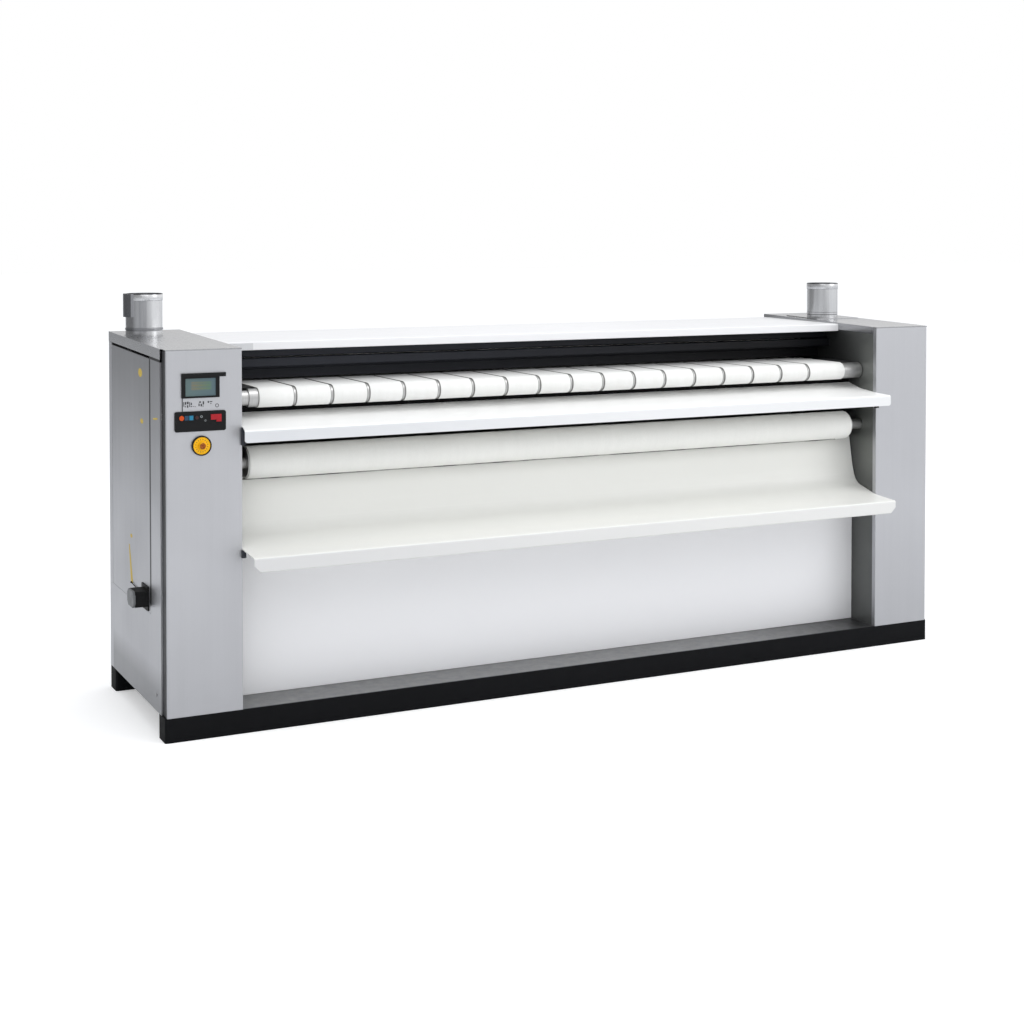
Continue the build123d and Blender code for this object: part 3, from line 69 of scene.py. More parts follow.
def linear(code):
    """An sRGB hex colour as linear RGBA."""
    parts = [int(code[i : i + 2], 16) / 255 for i in (1, 3, 5)]
    return [p / 12.92 if p <= 0.04045 else ((p + 0.055) / 1.055) ** 2.4 for p in parts] + [1.0]


def add(tree, kind, inputs=(), **settings):
    """Adds a node with its settings; an input is a value or the socket that feeds it."""
    node = tree.nodes.new("ShaderNode" + kind)
    for name, value in settings.items():
        setattr(node, name, value)
    for key, value in dict(inputs).items():
        if isinstance(value, bpy.types.NodeSocket):
            tree.links.new(value, node.inputs[key])
        else:
            node.inputs[key].default_value = value
    return node


# Soft daylight from all round; what the lens sees is white, and what steel mirrors darkens
# towards the unlit wall behind the machine's left end.
world = bpy.data.worlds.new("studio")
scene.world = world
world.use_nodes = True
sky = world.node_tree
out = sky.nodes["World Output"]
aim = add(sky, "TexCoord").outputs["Generated"]
toward = add(sky, "VectorMath", {0: aim, 1: (0.95, -0.2, 0.2)}, operation="DOT_PRODUCT")
wall = add(sky, "MapRange", {"Value": toward.outputs["Value"], "From Min": -0.6, "From Max": 0.75,
                             "To Min": 0.36, "To Max": 1.0}, interpolation_type="SMOOTHSTEP")
path = add(sky, "LightPath")
mirrored = add(sky, "Background", {"Color": (1, 1, 1, 1), "Strength": wall.outputs["Result"]})
soft = add(sky, "Background", {"Color": linear("#f7f9fc"), "Strength": 0.86})
white = add(sky, "Background", {"Color": (1, 1, 1, 1), "Strength": 1.0})
both = add(sky, "MixShader", {0: path.outputs["Is Glossy Ray"], 1: soft.outputs[0],
                              2: mirrored.outputs[0]})
straight = add(sky, "Math", {0: path.outputs["Is Camera Ray"],
                             1: path.outputs["Is Transmission Ray"]}, operation="MAXIMUM")
seen = add(sky, "MixShader", {0: straight.outputs[0], 1: both.outputs[0], 2: white.outputs[0]})
sky.links.new(seen.outputs[0], out.inputs["Surface"])

for name, place, aim_at, width, height, watts in (
    ("key_lamp", (-2.2, -5.6, 4.6), (0.0, 0.0, 0.8), 5.0, 2.4, 40.0),
    ("fill_lamp", (0.6, -6.8, 0.9), (0.2, 0.0, 0.6), 6.0, 1.6, 22.0),
    ("right_lamp", (4.6, -3.6, 3.4), (0.4, 0.0, 0.8), 3.0, 2.4, 50.0),
    ("top_lamp", (0.0, -1.8, 5.0), (0.0, -0.1, 1.0), 5.0, 2.0, 78.0),
    ("back_lamp", (1.0, 5.5, 3.6), (0.0, 0.2, 0.8), 5.0, 2.4, 14.0),
):
    lamp = bpy.data.lights.new(name, "AREA")
    lamp.shape = "RECTANGLE"
    lamp.size, lamp.size_y, lamp.energy = width, height, watts
    holder = bpy.data.objects.new(name, lamp)
    holder.location = place
    holder.visible_glossy = name != "fill_lamp"
    holder.rotation_euler = (Vector(aim_at) - Vector(place)).to_track_quat("-Z", "Y").to_euler()
    scene.collection.objects.link(holder)

floor_mesh = bpy.data.meshes.new("floor")
bm = bmesh.new()
bmesh.ops.create_grid(bm, x_segments=1, y_segments=1, size=60.0)
bm.to_mesh(floor_mesh)
bm.free()
floor = bpy.data.objects.new("floor", floor_mesh)
scene.collection.objects.link(floor)
paper = bpy.data.materials.new("white_floor_paper")
paper.use_nodes = True
tree = paper.node_tree
matt = tree.nodes["Principled BSDF"]
matt.inputs["Roughness"].default_value = 0.9
matt.inputs["Specular IOR Level"].default_value = 0.0
# Matt white paper. Where polished steel mirrors it, it ends in the unlit part of the room at the
# left and behind.
spot = add(tree, "SeparateXYZ", {0: add(tree, "NewGeometry").outputs["Position"]})
leftward = add(tree, "MapRange", {"Value": spot.outputs["X"], "From Min": -2.5, "From Max": -14.0})
behind = add(tree, "MapRange", {"Value": spot.outputs["Y"], "From Min": -10.0, "From Max": 1.0})
unlit = add(tree, "Math", {0: leftward.outputs[0], 1: behind.outputs[0]}, operation="MULTIPLY")
fade = add(tree, "MapRange", {"Value": unlit.outputs[0], "To Min": 1.0, "To Max": 0.15})
path = add(tree, "LightPath")
dark = add(tree, "Mix", {0: path.outputs["Is Glossy Ray"], 2: 1.0, 3: fade.outputs[0]},
           data_type="FLOAT")
shade = add(tree, "Mix", {0: 1.0, 6: linear("#f2f2f2"), 7: dark.outputs[0]}, data_type="RGBA",
            blend_type="MULTIPLY")
tree.links.new(shade.outputs[2], matt.inputs["Base Color"])
lift = add(tree, "Emission", {"Color": (1, 1, 1, 1), "Strength": 0.34})
lit = add(tree, "AddShader", {0: matt.outputs[0], 1: lift.outputs[0]})
direct = add(tree, "Math", {0: path.outputs["Is Camera Ray"],
                            1: path.outputs["Is Transmission Ray"]}, operation="MAXIMUM")
seen = add(tree, "MixShader", {0: direct.outputs[0], 1: matt.outputs[0], 2: lit.outputs[0]})
tree.links.new(seen.outputs[0], tree.nodes["Material Output"].inputs["Surface"])
floor_mesh.materials.append(paper)


# ---------------------------------------------------------------- base frame
# Two box rails and the ledge plate between them, welded from mild steel and powder coated black.
# The coat is satin with a fine peel, and dust has settled on what faces up.
def surface(name):
    """A new material, its node tree, its shader and the object's own coordinates."""
    mat = bpy.data.materials.new(name)
    mat.use_nodes = True
    return mat, mat.node_tree, mat.node_tree.nodes["Principled BSDF"], \
        add(mat.node_tree, "TexCoord").outputs["Object"]


def axes(tree):
    """The object's own X, Y and Z, as sockets by those names."""
    return add(tree, "SeparateXYZ", {0: add(tree, "TexCoord").outputs["Object"]}).outputs


def dress(mat, *names):
    """Puts a material on CAD nodes."""
    for name in names:
        for place in nodes[name].material_slots:
            place.material = mat


def span(tree, value, low, high, soft):
    """One between low and high, falling to nothing over a soft edge outside them."""
    rise = add(tree, "MapRange", {"Value": value, "From Min": low - soft, "From Max": low})
    fall = add(tree, "MapRange", {"Value": value, "From Min": high + soft, "From Max": high})
    return add(tree, "Math", {0: rise.outputs[0], 1: fall.outputs[0]},
               operation="MULTIPLY").outputs[0]


def overlay(mat, mask, colour):
    """Lays a colour over a material where the mask is one."""
    tree = mat.node_tree
    skin = tree.nodes["Principled BSDF"]
    under = skin.inputs["Base Color"].links[0].from_socket
    tone = add(tree, "Mix", {0: mask, 6: under, 7: linear(colour)}, data_type="RGBA")
    tree.links.new(tone.outputs[2], skin.inputs["Base Color"])


def coat(name, colour, shade, rough, peel=0.004, dust=0.0):
    """Powder coat on sheet steel: an even colour with faint cloudy patches, orange peel and dust.

    The peel is given in metres from bump to bump. The patches are 0.9 m across, tufts of dust 26 mm
    and scuffs 45 mm; all are coarser than real ones, so that they show.
    """
    mat, tree, skin, place = surface(name)
    cloud = add(tree, "TexNoise", {"Vector": place, "Scale": 1 / 0.9, "Detail": 4.0})
    tone = add(tree, "Mix", {0: cloud.outputs[0], 6: linear(colour), 7: linear(shade)},
               data_type="RGBA")
    colour_out = tone.outputs[2]
    if dust:
        up = add(tree, "SeparateXYZ", {0: add(tree, "NewGeometry").outputs["Normal"]})
        fluff = add(tree, "TexNoise", {"Vector": place, "Scale": 38.0, "Detail": 3.0})
        laid = add(tree, "Math", {0: up.outputs["Z"], 1: fluff.outputs[0]}, operation="MULTIPLY")
        amount = add(tree, "MapRange", {"Value": laid.outputs[0], "From Min": 0.3, "From Max": 0.9,
                                        "To Max": dust})
        tone = add(tree, "Mix", {0: amount.outputs[0], 6: colour_out, 7: linear("#9a9894")},
                   data_type="RGBA")
        colour_out = tone.outputs[2]
    tree.links.new(colour_out, skin.inputs["Base Color"])
    scuff = add(tree, "TexNoise", {"Vector": place, "Scale": 22.0, "Detail": 5.0, "Roughness": 0.7})
    worn = add(tree, "MapRange", {"Value": scuff.outputs[0], "From Min": 0.35, "From Max": 0.7,
                                  "To Min": rough - 0.05, "To Max": rough + 0.09})
    tree.links.new(worn.outputs[0], skin.inputs["Roughness"])
    grain = add(tree, "TexNoise", {"Vector": place, "Scale": 1 / peel, "Detail": 1.0})
    bump = add(tree, "Bump", {"Strength": 0.25, "Distance": 0.0002, "Height": grain.outputs[0]})
    tree.links.new(bump.outputs[0], skin.inputs["Normal"])
    return mat


# Dull black on the rails: it mirrors next to nothing, so they read as one dark bar.
black_coat = coat("black_powder_coat", "#0a0b0d", "#101114", 0.6, peel=0.003, dust=0.1)
black_coat.node_tree.nodes["Principled BSDF"].inputs["Specular IOR Level"].default_value = 0.1
dress(black_coat, "front_base_rail", "rear_base_rail")
# The ledge is satin grey under lint dust; its right end darkens to near black, without dust.
ledge_coat = coat("grey_powder_coat", "#6c6d6f", "#78797b", 0.42, dust=0.4)
end = add(ledge_coat.node_tree, "MapRange", {"Value": axes(ledge_coat.node_tree)["X"],
                                             "From Min": 0.75, "From Max": 1.3, "To Max": 0.9})
overlay(ledge_coat, end.outputs[0], "#101113")
dress(ledge_coat, "base_step_plate")


# ---------------------------------------------------------------- end housings
# Folded stainless sheet, brushed and fixed over the bearing walls. The brush lines run with the
# longest edge: upright on the fronts, sides and backs, and from front to back on the roofs.
def brushed(name, colour, shade, along, rough, smear=0.6, cut=0.07):
    """Brushed stainless sheet: streaks along one axis over cleaning smears half a metre long."""
    mat, tree, skin, place = surface(name)
    # real brush lines are 0.1 mm apart; they are drawn 2 mm apart so that they show
    fine = [500.0, 500.0, 500.0]
    fine[along] = 3.0
    stretch = add(tree, "Mapping", {"Vector": place, "Scale": fine})
    lines = add(tree, "TexNoise", {"Vector": stretch.outputs[0], "Scale": 1.0, "Detail": 3.0})
    broad = [26.0, 26.0, 26.0]
    broad[along] = 1.1
    spread = add(tree, "Mapping", {"Vector": place, "Scale": broad})
    bands = add(tree, "TexNoise", {"Vector": spread.outputs[0], "Scale": 1.0, "Detail": 2.0})
    cloud = add(tree, "TexNoise", {"Vector": place, "Scale": 2.2, "Detail": 5.0, "Distortion": 0.4})
    sum_a = add(tree, "Mix", {0: 0.5, 2: lines.outputs[0], 3: bands.outputs[0]}, data_type="FLOAT")
    sum_b = add(tree, "Mix", {0: smear, 2: sum_a.outputs[0], 3: cloud.outputs[0]},
                data_type="FLOAT")
    wide = add(tree, "MapRange", {"Value": sum_b.outputs[0], "From Min": 0.3, "From Max": 0.7})
    tone = add(tree, "Mix", {0: wide.outputs[0], 6: linear(colour), 7: linear(shade)},
               data_type="RGBA")
    tree.links.new(tone.outputs[2], skin.inputs["Base Color"])
    polish = add(tree, "MapRange", {"Value": sum_b.outputs[0], "From Min": 0.3, "From Max": 0.7,
                                    "To Min": rough - 0.06, "To Max": rough + 0.07})
    tree.links.new(polish.outputs[0], skin.inputs["Roughness"])
    bump = add(tree, "Bump", {"Strength": cut, "Distance": 0.0002, "Height": lines.outputs[0]})
    tree.links.new(bump.outputs[0], skin.inputs["Normal"])
    skin.inputs["Metallic"].default_value = 1.0
    return mat


# Satin steel whose upright lines spread what it mirrors sideways; the roofs are smoother.
upright_steel = brushed("brushed_stainless_upright", "#c5c6ca", "#bebfc3", 2, 0.42)
roof_steel = brushed("brushed_stainless_roof", "#b0b1b3", "#abacaf", 1, 0.25, cut=0.02)
dress(upright_steel, "right_side_panel", "left_back_cover", "right_back_cover")
dress(roof_steel, "left_top_cover", "right_top_cover", "duct_flange_plate")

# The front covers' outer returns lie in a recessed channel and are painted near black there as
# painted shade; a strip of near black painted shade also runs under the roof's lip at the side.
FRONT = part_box("left_front_cover")[0].y  # plane of the front covers
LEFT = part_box("left_side_panel")[0].x  # outer face of the left side sheet
ROOF_RISE = 0.02  # the roof rises by this to the back
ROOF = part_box("left_top_cover")[1].z - ROOF_RISE  # the roof at the front
DEPTH = 0.788
MIDDLE = 0.02525  # middle of the machine, from left to right
HALF_WIDTH = 1.594
CHANNEL_W = 0.0095  # the shadow channel, which starts behind the covers' face sheets
FACE_T = 0.0035
front_steel = brushed("brushed_stainless_front", "#c5c6ca", "#bebfc3", 2, 0.42)
tree = front_steel.node_tree
place = axes(tree)
far = add(tree, "Math", {0: place["X"], 1: MIDDLE}, operation="SUBTRACT")
reach = add(tree, "Math", {0: far.outputs[0]}, operation="ABSOLUTE")
deep = add(tree, "Math", {0: place["Y"], 1: FRONT + FACE_T}, operation="GREATER_THAN")
outer = add(tree, "Math", {0: reach.outputs[0], 1: HALF_WIDTH - CHANNEL_W},
            operation="GREATER_THAN")
both = add(tree, "Math", {0: deep.outputs[0], 1: outer.outputs[0]}, operation="MULTIPLY")
# painted shade: the covers grow darker towards their feet
foot = add(tree, "MapRange", {"Value": place["Z"], "From Min": 0.6, "From Max": 0.12,
                              "To Max": 0.35})
overlay(front_steel, foot.outputs[0], "#9fa0a4")
# painted shade: the outer returns in the channel turn near black
overlay(front_steel, both.outputs[0], "#3a3b3e")
dress(front_steel, "left_front_cover", "right_front_cover")
# The left side has painted shade towards its top and foot, which deepens its grey there.
side_steel = brushed("brushed_stainless_side", "#c5c6ca", "#bebfc3", 2, 0.42)
tree = side_steel.node_tree
place = axes(tree)
for unshaded_z, shaded_z in ((0.75, 1.26), (0.23, 0.15)):
    grey = add(tree, "MapRange", {"Value": place["Z"], "From Min": unshaded_z, "From Max": shaded_z,
                                  "To Max": 0.6})
    overlay(side_steel, grey.outputs[0], "#8a8b8d")
# the painted shade under the roof's lip follows the roof's slope, and a dark strip of painted
# shade lines the door's front edge
LIP_SHADE_H = 0.0445
DOOR_IN = 0.185  # the door's front edge, behind the front covers
DOOR_LOW, DOOR_HIGH = 0.43, 1.262  # between these heights the strip shows
level = add(tree, "Math", {0: place["Y"], 1: -ROOF_RISE / DEPTH, 2: place["Z"]},
            operation="MULTIPLY_ADD")
roof_foot = ROOF - FRONT * ROOF_RISE / DEPTH
shade_strip = span(tree, level.outputs[0], roof_foot - LIP_SHADE_H, roof_foot, 0.001)
overlay(side_steel, shade_strip, "#0c0c0e")
edge = span(tree, place["Y"], FRONT + DOOR_IN - 0.011, FRONT + DOOR_IN + 0.003, 0.004)
upright = span(tree, place["Z"], DOOR_LOW, DOOR_HIGH, 0.01)
both = add(tree, "Math", {0: edge, 1: upright}, operation="MULTIPLY")
overlay(side_steel, both.outputs[0], "#47484b")
dress(side_steel, "left_side_panel", "left_side_door")

# The bearing walls are thicker plate with a dark olive grey coat, rubbed to a slight sheen where
# linen brushes past, so that the bands mirror faintly in them.
wall_coat = coat("olive_grey_wall_coat", "#6b6d6b", "#626463", 0.36, peel=0.02)
wall_coat.node_tree.nodes["Principled BSDF"].inputs["Metallic"].default_value = 0.55
tree = wall_coat.node_tree
place = axes(tree)
# painted shade: the walls darken towards the back, deep inside the machine
back = add(tree, "MapRange", {"Value": place["Y"], "From Min": FRONT + 0.05,
                              "From Max": FRONT + 0.28, "To Max": 0.8},
           interpolation_type="SMOOTHSTEP")
overlay(wall_coat, back.outputs[0], "#1f2022")
# painted light: they are lighter near their front edge, at the height of the feed
front = add(tree, "MapRange", {"Value": place["Y"], "From Min": FRONT + 0.12,
                               "From Max": FRONT + 0.01, "To Max": 0.6})
feed = span(tree, place["Z"], 0.75, 1.2, 0.08)
both = add(tree, "Math", {0: front.outputs[0], 1: feed}, operation="MULTIPLY")
overlay(wall_coat, both.outputs[0], "#8a8d88")
dress(wall_coat, "left_inner_wall", "right_inner_wall")
# The floors have only flat grey primer, and are dusty.
plate_coat = coat("grey_primer_coat", "#7b7d7e", "#6b6d6e", 0.5, dust=0.4)
dress(plate_coat, "floor_plates")


# ---------------------------------------------------------------- hood, panels, shelf and tray
# Folded mild steel with a white satin coat. The tray and the panel under it have their own
# batches of coat, the tray a little warmer and the panel a little cooler.
hood_coat = coat("white_hood_coat", "#e6e6e7", "#e3e3e5", 0.38)
dress(hood_coat, "hood_cover")
white_coat = coat("white_powder_coat", "#f8f8f6", "#f5f5f4", 0.38)
tray_coat = coat("warm_white_powder_coat", "#ecece8", "#e7e7e3", 0.40)
# painted shade greys the front lips of shelf and tray, most of all towards the left
for mat, node, starts, lip_face, unshaded_x, tone in (
    (white_coat, "entry_shelf", 0.0725, 0.0745, 0.2, "#d3d5d8"),
    (tray_coat, "collecting_tray", 0.1235, 0.1265, 0.6, "#d2d2d2"),
):
    tree = mat.node_tree
    place = axes(tree)
    lip = add(tree, "MapRange", {"Value": place["Y"], "From Min": FRONT - starts,
                                 "From Max": FRONT - lip_face})
    left = add(tree, "MapRange", {"Value": place["X"], "From Min": unshaded_x, "From Max": -1.2,
                                  "To Min": 0.6})
    both = add(tree, "Math", {0: lip.outputs[0], 1: left.outputs[0]}, operation="MULTIPLY")
    overlay(mat, both.outputs[0], tone)
    dress(mat, node)
panel_coat = coat("cool_white_powder_coat", "#f4f4f6", "#efeff1", 0.38)
dress(panel_coat, "lower_front_panel")
# The rear panels and the joint plate are pale grey. The feed bed is painted dark grey as painted
# shade, so that the gaps between the bands stay dark.
rear_coat = coat("pale_grey_powder_coat", "#d9dadc", "#cfd0d3", 0.42)
dress(rear_coat, "rear_cover")
bed_coat = coat("dark_grey_bed_coat", "#2c2c2e", "#353537", 0.5)
dress(bed_coat, "feed_bed")
joint_coat = coat("grey_joint_coat", "#d2d3d5", "#c8c9cb", 0.4)
dress(joint_coat, "hood_joint_plate")

# The beams, the finger guard and the tabs at the ends are coated near black, and have a little
# painted blue daylight towards the left.
beam_coat = coat("near_black_beam_coat", "#0e0f12", "#15161a", 0.44)
beam_coat.node_tree.nodes["Principled BSDF"].inputs["Specular IOR Level"].default_value = 0.18
tree = beam_coat.node_tree
lit = add(tree, "MapRange", {"Value": axes(tree)["X"], "From Min": 0.9, "From Max": -0.9,
                             "To Max": 0.9})
overlay(beam_coat, lit.outputs[0], "#32343b")
dress(beam_coat, "upper_beam", "guard_beam", "finger_guard", "end_brackets")


def at(x, y, z):
    """A point given in millimetres from the foot of the front left corner."""
    return Vector((LEFT + x / 1000, FRONT + y / 1000, z / 1000))


def brick(bm, low, high):
    """Adds a box between two points given in millimetres."""
    low, high = at(*low), at(*high)
    middle = Matrix.Translation((low + high) / 2)
    bmesh.ops.create_cube(bm, size=1.0, matrix=middle @ Matrix.Diagonal((*(high - low), 1.0)))


def make(name, bm, mat, body):
    """Turns a bmesh into a piece that rides on a body; edges over 0.5 radians stay sharp."""
    bmesh.ops.recalc_face_normals(bm, faces=bm.faces)
    for face in bm.faces:
        face.smooth = True
    for edge in bm.edges:
        if len(edge.link_faces) == 2 and edge.calc_face_angle(0) > 0.5:
            edge.smooth = False
    mesh = bpy.data.meshes.new(name)
    bm.to_mesh(mesh)
    bm.free()
    mesh.materials.append(mat)
    piece = bpy.data.objects.new(name, mesh)
    scene.collection.objects.link(piece)
    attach(piece, body)
    return piece


# A black sheet of painted shade closes the space behind the shelf, from under the bands down to
# the ironing belt. Its coat is flat, so the gap looks deep.
shade_sheet_coat = coat("black_shade_sheet_coat", "#070708", "#0c0c0d", 0.6)
shade_sheet_coat.node_tree.nodes["Principled BSDF"].inputs["Specular IOR Level"].default_value = 0.1
SHADE_SHEET_T = 1.5  # in millimetres, as brick takes it
shade_sheet = bmesh.new()
brick(shade_sheet, (266, 179, 955), (2922, 179 + SHADE_SHEET_T, 1081))
make("shelf_shade_sheet", shade_sheet, shade_sheet_coat, "machine")


# ---------------------------------------------------------------- cylinder and rollers
# The ironing cylinder is ground and polished steel; the rollers are turned tube with plugged
# ends. The lathe leaves fine rings round them.
def turned(name, colour, shade, rough, ring):
    """Turned steel: rings round the axis, ring metres apart, with stains of handling 33 mm wide."""
    mat, tree, skin, place = surface(name)
    squeeze = add(tree, "Mapping", {"Vector": place, "Scale": (1 / ring, 2.0, 2.0)})
    rings = add(tree, "TexNoise", {"Vector": squeeze.outputs[0], "Scale": 1.0, "Detail": 2.0})
    stain = add(tree, "TexNoise", {"Vector": place, "Scale": 30.0, "Detail": 5.0})
    sum_a = add(tree, "Mix", {0: 0.5, 2: rings.outputs[0], 3: stain.outputs[0]}, data_type="FLOAT")
    wide = add(tree, "MapRange", {"Value": sum_a.outputs[0], "From Min": 0.25, "From Max": 0.75})
    tone = add(tree, "Mix", {0: wide.outputs[0], 6: linear(colour), 7: linear(shade)},
               data_type="RGBA")
    tree.links.new(tone.outputs[2], skin.inputs["Base Color"])
    polish = add(tree, "MapRange", {"Value": sum_a.outputs[0], "From Min": 0.3, "From Max": 0.7,
                                    "To Min": rough - 0.06, "To Max": rough + 0.08})
    tree.links.new(polish.outputs[0], skin.inputs["Roughness"])
    bump = add(tree, "Bump", {"Strength": 0.06, "Distance": 0.0002, "Height": rings.outputs[0]})
    tree.links.new(bump.outputs[0], skin.inputs["Normal"])
    skin.inputs["Metallic"].default_value = 1.0
    return mat


# The ground cylinder gives a sharp bright streak and the rollers a soft one. A lathe cuts its rings
# 0.2 mm apart; they are drawn 2.5 to 4 mm apart so that they show.
ground_steel = turned("ground_cylinder_steel", "#d8d8d8", "#c4c4c4", 0.16, 0.004)
dress(ground_steel, "ironing_cylinder")
tube_steel = turned("turned_roller_steel", "#c8c8c7", "#b4b4b5", 0.38, 0.0025)
dress(tube_steel, "front_feed_roller", "rear_feed_roller", "return_roller", "lower_belt_roller",
      "upper_belt_roller", "nip_roller")


# ---------------------------------------------------------------- feed bands
# Eighteen endless bands of woven cotton tape run round the two feed rollers and carry the linen
# to the cylinder. Each is a flat strap with rounded edges, and lies a little out of line.
def strap(bm, wheels, thick, x0, x1, edge):
    """Runs a belt's section round its wheels and closes it on itself.

    A wheel is (y, z, radius of the belt's middle, 1 inside the loop or -1 outside it).
    """
    leave, meet = [], []
    count = len(wheels)
    for i, (ya, za, ra, sa) in enumerate(wheels):
        yb, zb, rb, sb = wheels[(i + 1) % count]
        apart = math.hypot(yb - ya, zb - za)
        turn = math.atan2(zb - za, yb - ya) - math.acos((sa * ra - sb * rb) / apart)
        leave.append(Vector((0, ya + sa * ra * math.cos(turn), za + sa * ra * math.sin(turn))))
        meet.append(Vector((0, yb + sb * rb * math.cos(turn), zb + sb * rb * math.sin(turn))))
    first = meet[-1]
    out_way = (first - Vector((0, wheels[0][0], wheels[0][1]))).normalized() * wheels[0][3]
    corners = []
    for x, side in ((x0, -1), (x1, -1), (x1, 1), (x0, 1)):
        corners.append(bm.verts.new(Vector((x, 0, 0)) + first + out_way * side * thick / 2))
    for i in range(4):
        bm.edges.new((corners[i], corners[(i + 1) % 4]))
    bmesh.ops.bevel(bm, geom=corners, offset=edge, offset_type="OFFSET", segments=2, profile=0.5,
                    affect="VERTICES", material=-1)
    section = [e for e in bm.edges if e.is_wire]
    for i, (y, z, r, s) in enumerate(wheels):
        start, end = meet[i - 1], leave[i]
        a0 = math.atan2(start.z - z, start.y - y)
        a1 = math.atan2(end.z - z, end.y - y)
        sweep = (a1 - a0) % math.tau if s > 0 else -((a0 - a1) % math.tau)
        steps = max(2, round(abs(sweep) / 0.16))  # radians to a facet
        bend = bmesh.ops.spin(bm, geom=section, cent=(0, y, z), axis=(1, 0, 0), dvec=(0, 0, 0),
                              angle=sweep, steps=steps, use_merge=False, use_duplicate=False)
        section = [g for g in bend["geom_last"] if isinstance(g, bmesh.types.BMEdge)]
        run = bmesh.ops.extrude_edge_only(bm, edges=section)
        moved = [g for g in run["geom"] if isinstance(g, bmesh.types.BMVert)]
        bmesh.ops.translate(bm, verts=moved, vec=meet[i] - leave[i])
        section = [g for g in run["geom"] if isinstance(g, bmesh.types.BMEdge)
                   and all(v in moved for v in g.verts)]
    bmesh.ops.remove_doubles(bm, verts=bm.verts, dist=2e-5)


def woven(name, colour, shade, thread, rough=0.85, rib=1.0):
    """Woven cloth: warp lines across the belt's width, weft lines along its run, and fluff.

    The thread is given in metres from one to the next but one; a low rib leaves mostly fluff. The
    fluff is drawn in tufts of 2.4 mm, so that it shows, and worn patches are 0.2 m across.
    """
    mat, tree, skin, place = surface(name)
    spot = add(tree, "SeparateXYZ", {0: place}).outputs
    # over a roller the run goes down and back together, so their sum follows the cloth
    run = add(tree, "Math", {0: spot["Y"], 1: spot["Z"]}, operation="ADD")
    warp = add(tree, "Math", {0: spot["X"], 1: math.tau / thread}, operation="MULTIPLY")
    weft = add(tree, "Math", {0: run.outputs[0], 1: math.tau / thread}, operation="MULTIPLY")
    over = add(tree, "Math", {0: warp.outputs[0]}, operation="SINE")
    under = add(tree, "Math", {0: weft.outputs[0]}, operation="SINE")
    knit = add(tree, "Math", {0: over.outputs[0], 1: under.outputs[0]}, operation="MULTIPLY")
    fluff = add(tree, "TexNoise", {"Vector": place, "Scale": 420.0, "Detail": 3.0})
    height = add(tree, "Math", {0: knit.outputs[0], 1: 0.35 * rib, 2: fluff.outputs[0]},
                 operation="MULTIPLY_ADD")
    bump = add(tree, "Bump", {"Strength": 0.45, "Distance": 0.0005, "Height": height.outputs[0]})
    tree.links.new(bump.outputs[0], skin.inputs["Normal"])
    worn = add(tree, "Mapping", {"Vector": place, "Scale": (60.0, 6.0, 6.0)})
    streak = add(tree, "TexNoise", {"Vector": worn.outputs[0], "Scale": 1.0, "Detail": 4.0})
    patch = add(tree, "TexNoise", {"Vector": place, "Scale": 5.0, "Detail": 3.0})
    sum_a = add(tree, "Mix", {0: 0.5, 2: streak.outputs[0], 3: patch.outputs[0]}, data_type="FLOAT")
    wide = add(tree, "MapRange", {"Value": sum_a.outputs[0], "From Min": 0.35, "From Max": 0.68})
    tone = add(tree, "Mix", {0: wide.outputs[0], 6: linear(colour), 7: linear(shade)},
               data_type="RGBA")
    # painted shade: the low places of the weave are a little darker
    pit = add(tree, "MapRange", {"Value": height.outputs[0], "From Min": 0.1, "From Max": 0.6,
                                 "To Min": 0.93, "To Max": 1.0})
    shaded = add(tree, "Mix", {0: 1.0, 6: tone.outputs[2], 7: pit.outputs[0]}, data_type="RGBA",
                 blend_type="MULTIPLY")
    tree.links.new(shaded.outputs[2], skin.inputs["Base Color"])
    skin.inputs["Roughness"].default_value = rough
    skin.inputs["Sheen Weight"].default_value = 0.25
    skin.inputs["Sheen Roughness"].default_value = 0.5
    return mat


CLEAR = 0.0003  # from a roller to the belt on it
BAND_T = 0.0025
BAND_PITCH = 0.1355
BAND_W = 0.1275
BANDS = 18
DRIFT = 0.0005  # how far a band may lie out of line
FRONT_R = 0.032  # the feed rollers
REAR_R = 0.022
feed_low, feed_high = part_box("feed_bands")
front_y = feed_low.y + BAND_T + CLEAR + FRONT_R
front_z = feed_high.z - BAND_T - CLEAR - FRONT_R
rear_y = feed_high.y - BAND_T - CLEAR - REAR_R
rear_z = feed_high.z - BAND_T - CLEAR - REAR_R
tape_middle = CLEAR + BAND_T / 2  # from a roller to the middle of the tape
feed_wheels = [(front_y, front_z, FRONT_R + tape_middle, 1),
               (rear_y, rear_z, REAR_R + tape_middle, 1)]
random.seed(7)
tape = bmesh.new()
for i in range(BANDS):
    drift = random.uniform(-DRIFT, DRIFT)
    x0 = feed_low.x + i * BAND_PITCH + (drift if i else 0)
    x1 = feed_high.x if i == BANDS - 1 else x0 + BAND_W
    one = bmesh.new()
    strap(one, feed_wheels, BAND_T, x0, x1, 0.0007)
    part = bpy.data.meshes.new("part")
    one.to_mesh(part)
    one.free()
    tape.from_mesh(part)
    bpy.data.meshes.remove(part)
# The weave keeps the white soft and flat, without any gleam. Threads of cotton tape are 0.6 mm
# apart; they are drawn 1.2 mm apart so that they show.
cotton_tape = woven("woven_cotton_tape", "#ebebe9", "#e5e5e2", 0.0024)
tree = cotton_tape.node_tree
place = axes(tree)
# painted shade: the bands darken towards the back, under the hood
rear = add(tree, "MapRange", {"Value": place["Y"], "From Min": FRONT + 0.1,
                              "From Max": FRONT + 0.33, "To Max": 0.9})
overlay(cotton_tape, rear.outputs[0], "#b9b9b8")
